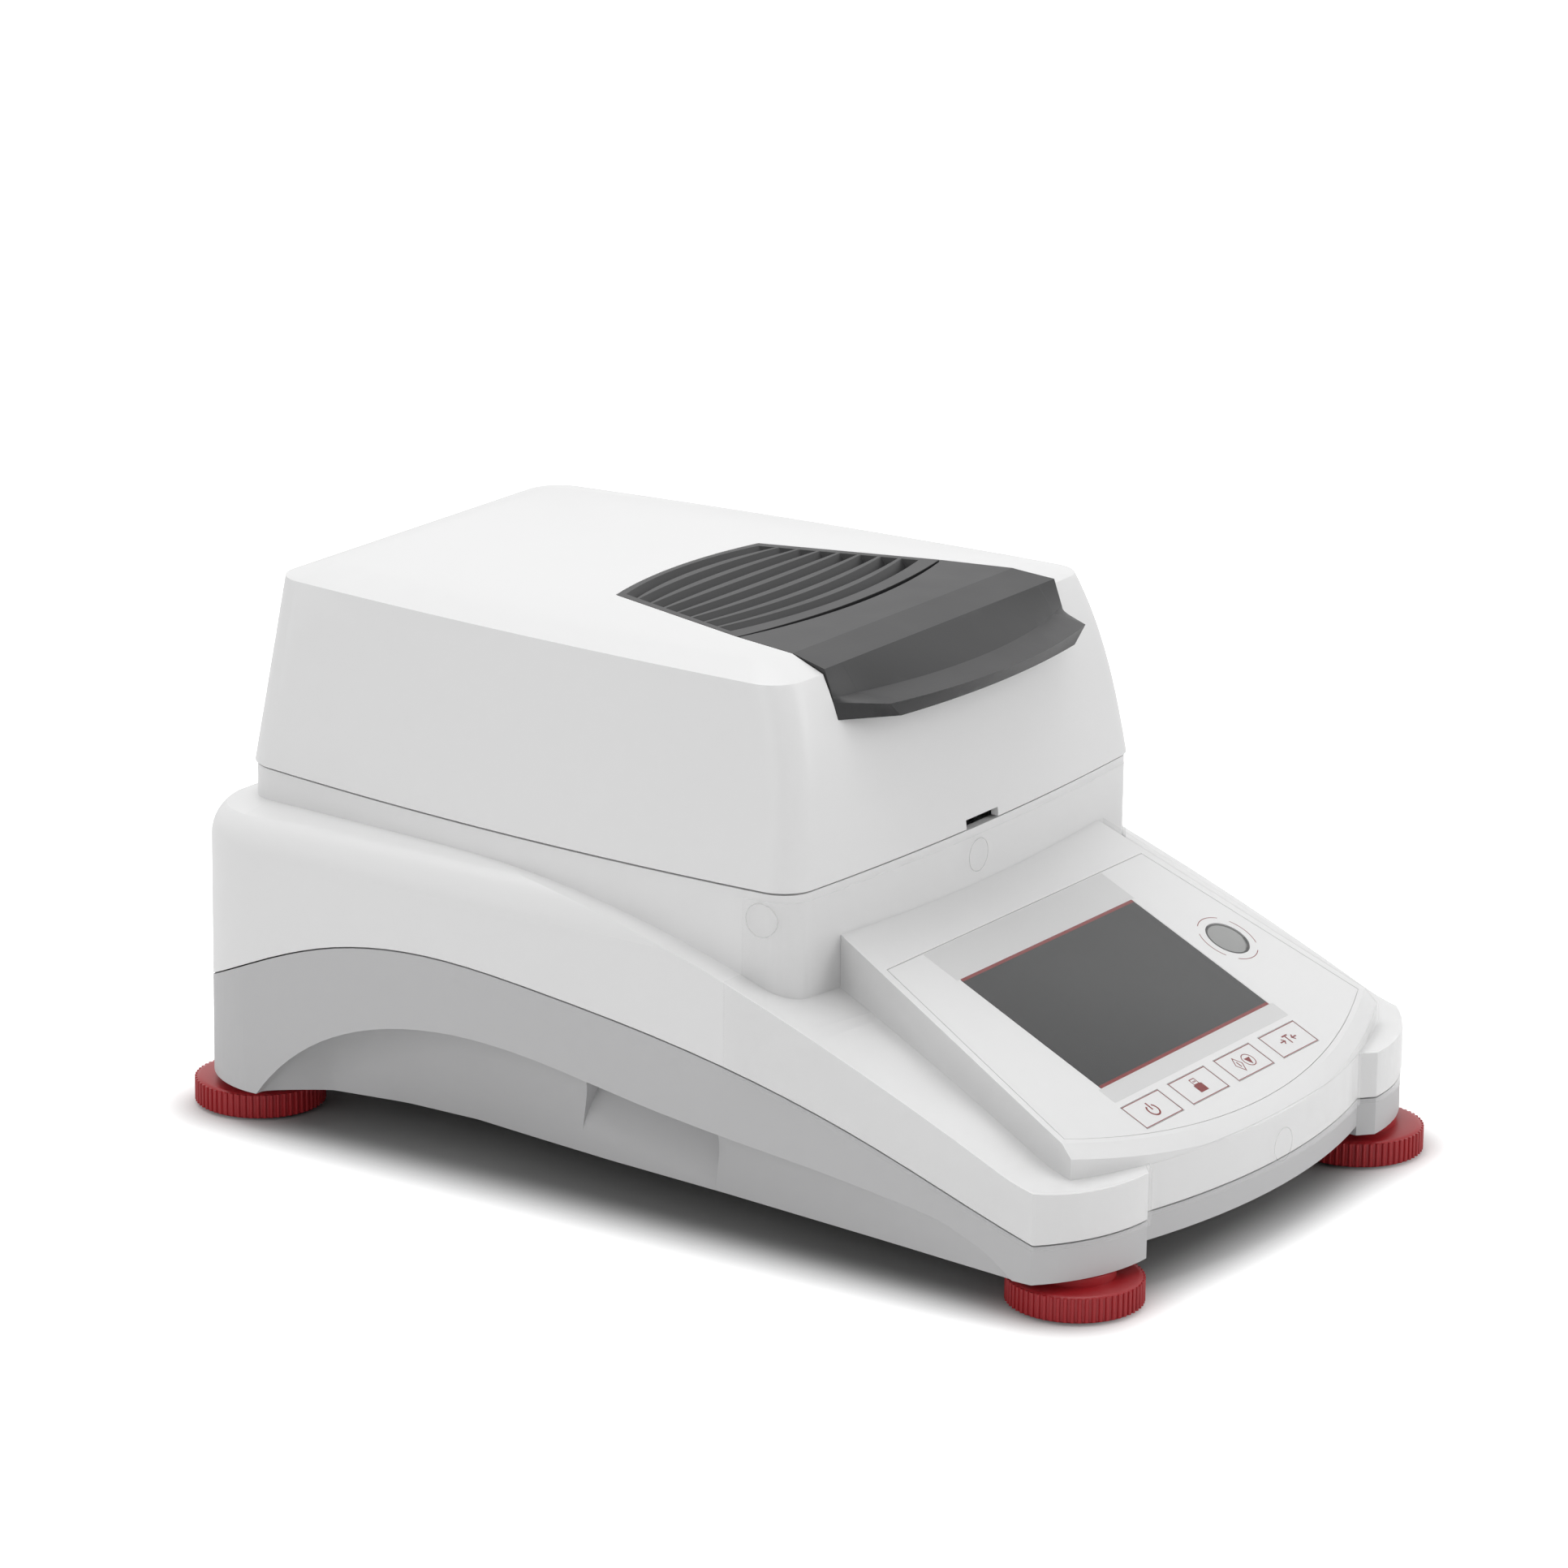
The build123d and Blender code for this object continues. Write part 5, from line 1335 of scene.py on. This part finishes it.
@dataclass
class BubbleLevel:
    """Domed vial of the round level, with painted shade along its lower edge, in millimetres and degrees.

    Each shade is a dark arc of painted shade, with its radius, its width, and where it starts and ends.
    """

    plane: PanelPlane = field(default_factory=PanelPlane)
    radius: float = 7.1
    rim: float = -0.5
    crown: float = 0.55
    crown_rings: int = 10
    flange: float = -1.9
    flange_width: float = 1.2
    foot: float = -5.5
    taper: float = 0.1
    shades: tuple[tuple[float, float, float, float], ...] = ((6.75, 0.7, -76.0, -18.0),
                                                             (7.0, 0.22, 100.0, 260.0))
    shade_lift: float = 0.05

    def build(self) -> None:
        """Make the dome and the painted shade along its edge."""
        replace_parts(add_piece("level_dome", self._dome(), VIAL, "base"), "level_vial")
        # Painted shade: dark arcs along the dome's edge.
        bm = bmesh.new()
        ink = Print(self.plane, high=self.shade_lift)
        for reach, width, start, end in self.shades:
            ink.stroke(bm, Print.arc(self.plane.level_x, 0.0, reach, start, end), width)
        add_piece("level_shade", mesh_of(bm, "level_shade"), SHADE, "base")

    def _dome(self) -> bpy.types.Mesh:
        """Shallow dome on the panel's plane, closed underneath.

        Returns:
            The mesh, in place.
        """
        neck = self.radius - self.flange_width
        profile = [(0.0, self.foot), (neck - self.taper, self.foot), (neck, self.flange),
                   (self.radius, self.flange)]
        for ring in range(self.crown_rings):
            turn = math.pi / 2 * ring / self.crown_rings
            profile.append((self.radius * math.cos(turn), self.rim + self.crown * math.sin(turn)))
        bm = lathe(profile + [(0.0, self.rim + self.crown)], 72)
        for vert in bm.verts:
            x, s, lift = vert.co / MM
            vert.co = self.plane.at(self.plane.level_x + x, s, lift)
        bmesh.ops.recalc_face_normals(bm, faces=bm.faces)
        return mesh_of(bm, "level_dome", 50.0)


@dataclass(frozen=True)
class Lamp:
    """A square soft lamp, turned to what it lights."""

    name: str
    spot: Place
    size: float
    power: float
    aim: Place


@dataclass
class Studio:
    """Plain floor, soft light and the camera, in metres.

    Past a box with the half sides in half, the floor grows light over the distance in spread. Towards the box
    its colour darkens to dark, a painted shadow under the object.
    """

    place: Place = (-1.745599, -1.172715, 0.743979)
    azimuth: float = -55.898
    elevation: float = 16.776
    roll: float = 0.672
    lens: float = 164.83
    sensor: float = 36.0
    clip: tuple[float, float] = (0.1, 50.0)
    floor_size: float = 6.0
    floor_drop: float = 0.00002
    floor_roughness: float = 0.95
    half: tuple[float, float] = (0.088, 0.150)
    spread: float = 0.07
    # Colour of the floor at the box: painted shadow under the object.
    dark: float = 0.3
    daylight: float = 0.45
    lamps: tuple[Lamp, ...] = (Lamp("over", (0.1, 0.3, 1.9), 1.6, 21.0, (0.0, 0.0, 0.1)),
                               Lamp("front", (0.9, -1.7, 1.0), 1.2, 9.0, (0.0, 0.0, 0.08)),
                               Lamp("side", (-1.9, 0.2, 0.8), 1.0, 4.0, (0.0, 0.0, 0.08)))

    def build(self) -> None:
        """Make the camera, the floor, the lamps and the world."""
        self._camera()
        self._floor()
        self._lamps()
        self._world()
        bpy.context.scene.view_settings.view_transform = "Standard"

    def _camera(self) -> None:
        """Camera at the photograph's angle."""
        az, el, roll = (math.radians(a) for a in (self.azimuth, self.elevation, self.roll))
        back = Vector((math.sin(az) * math.cos(el), -math.cos(az) * math.cos(el), math.sin(el)))
        right = Vector((0.0, 0.0, 1.0)).cross(back).normalized()
        up = back.cross(right)
        tilted = right * math.cos(roll) + up * math.sin(roll)
        above = up * math.cos(roll) - right * math.sin(roll)
        data = bpy.data.cameras.new("camera")
        data.lens, data.sensor_width = self.lens, self.sensor
        data.clip_start, data.clip_end = self.clip
        camera = bpy.data.objects.new("camera", data)
        turn = Matrix((tilted, above, back)).transposed().to_4x4()
        camera.matrix_world = Matrix.Translation(Vector(self.place)) @ turn
        bpy.context.scene.collection.objects.link(camera)
        bpy.context.scene.camera = camera

    def _floor(self) -> None:
        """Pale floor that shows white, keeps the cast shadow and has a painted shadow under the object."""
        bm = bmesh.new()
        bmesh.ops.create_grid(bm, x_segments=1, y_segments=1, size=self.floor_size)
        bmesh.ops.translate(bm, verts=bm.verts, vec=(0.0, 0.0, -self.floor_drop))
        floor = bpy.data.objects.new("floor", mesh_of(bm, "floor"))
        bpy.context.scene.collection.objects.link(floor)
        floor.data.materials.append(self._floor_material())

    def _floor_material(self) -> bpy.types.Material:
        """Material that is white to the camera away from the object, and darker under it, where a painted
        shadow darkens its colour.

        Returns:
            The material.
        """
        material = bpy.data.materials.new("floor")
        material.use_nodes = True
        tree = material.node_tree
        shader = tree.nodes["Principled BSDF"]
        shader.inputs["Roughness"].default_value = self.floor_roughness
        shader.inputs["Emission Color"].default_value = (1.0, 1.0, 1.0, 1.0)
        path = tree.nodes.new("ShaderNodeLightPath")
        place = tree.nodes.new("ShaderNodeTexCoord")
        whole = tree.nodes.new("ShaderNodeVectorMath")
        whole.operation = "ABSOLUTE"
        past = tree.nodes.new("ShaderNodeVectorMath")
        past.operation = "SUBTRACT"
        past.inputs[1].default_value = (*self.half, 0.0)
        clear = tree.nodes.new("ShaderNodeVectorMath")
        clear.operation = "MAXIMUM"
        clear.inputs[1].default_value = (0.0, 0.0, 0.0)
        reach = tree.nodes.new("ShaderNodeVectorMath")
        reach.operation = "LENGTH"
        rise = tree.nodes.new("ShaderNodeMapRange")
        rise.interpolation_type = "SMOOTHSTEP"
        rise.inputs["From Max"].default_value = self.spread
        # Painted shadow: the floor's colour darkens from white to dark towards the box under the object.
        shade = tree.nodes.new("ShaderNodeMapRange")
        shade.interpolation_type = "SMOOTHSTEP"
        shade.inputs["From Max"].default_value = self.spread / 2
        shade.inputs["To Min"].default_value = self.dark
        tree.links.new(place.outputs["Object"], whole.inputs[0])
        tree.links.new(whole.outputs[0], past.inputs[0])
        tree.links.new(past.outputs[0], clear.inputs[0])
        tree.links.new(clear.outputs[0], reach.inputs[0])
        tree.links.new(reach.outputs["Value"], shade.inputs["Value"])
        tree.links.new(shade.outputs["Result"], shader.inputs["Base Color"])
        glow = tree.nodes.new("ShaderNodeMath")
        glow.operation = "MULTIPLY"
        tree.links.new(reach.outputs["Value"], rise.inputs["Value"])
        tree.links.new(path.outputs["Is Camera Ray"], glow.inputs[0])
        tree.links.new(rise.outputs["Result"], glow.inputs[1])
        tree.links.new(glow.outputs[0], shader.inputs["Emission Strength"])
        return material

    def _lamps(self) -> None:
        """Large soft lamps."""
        for lamp in self.lamps:
            data = bpy.data.lights.new(lamp.name, "AREA")
            data.size, data.energy = lamp.size, lamp.power
            light = bpy.data.objects.new(lamp.name, data)
            light.location = lamp.spot
            light.rotation_euler = (Vector(lamp.aim) - Vector(lamp.spot)).to_track_quat("-Z", "Y").to_euler()
            bpy.context.scene.collection.objects.link(light)

    def _world(self) -> None:
        """Even light, and plain white for the camera, in reflections and through glass."""
        world = bpy.data.worlds.new("world")
        world.use_nodes = True
        bpy.context.scene.world = world
        tree = world.node_tree
        light = tree.nodes["Background"]
        light.inputs["Color"].default_value = (1.0, 1.0, 1.0, 1.0)
        light.inputs["Strength"].default_value = self.daylight
        white = tree.nodes.new("ShaderNodeBackground")
        white.inputs["Color"].default_value = (1.0, 1.0, 1.0, 1.0)
        path = tree.nodes.new("ShaderNodeLightPath")
        mix = tree.nodes.new("ShaderNodeMixShader")
        seen = path.outputs["Is Camera Ray"]
        for kind in ("Is Glossy Ray", "Is Transmission Ray"):
            either = tree.nodes.new("ShaderNodeMath")
            either.operation = "MAXIMUM"
            tree.links.new(seen, either.inputs[0])
            tree.links.new(path.outputs[kind], either.inputs[1])
            seen = either.outputs[0]
        tree.links.new(seen, mix.inputs[0])
        tree.links.new(light.outputs[0], mix.inputs[1])
        tree.links.new(white.outputs[0], mix.inputs[2])
        tree.links.new(mix.outputs[0], tree.nodes["World Output"].inputs["Surface"])


def dress_nodes(frame: dict) -> None:
    """Give every CAD node its finish."""
    for name, obj in frame["nodes"].items():
        kind = name.rstrip("_1234")
        finish = NODE_FINISHES.get(name) or {"foot_wheel": RED, "foot_pad": PAD}[kind]
        put(obj, finish)


def main() -> None:
    """Build the whole scene."""
    logging.basicConfig(level=logging.INFO, format="%(name)s: %(message)s")
    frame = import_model()
    Studio().build()
    dress_nodes(frame)
    for assembly in (Housings(frame), ControlPanel(), BubbleLevel(), LevellingFeet(), Fasteners(), Heater(),
                     Fan(), CoverMarks(frame)):
        assembly.build()
        LOG.info("built %s", type(assembly).__name__)


if __name__ == "__main__":
    main()
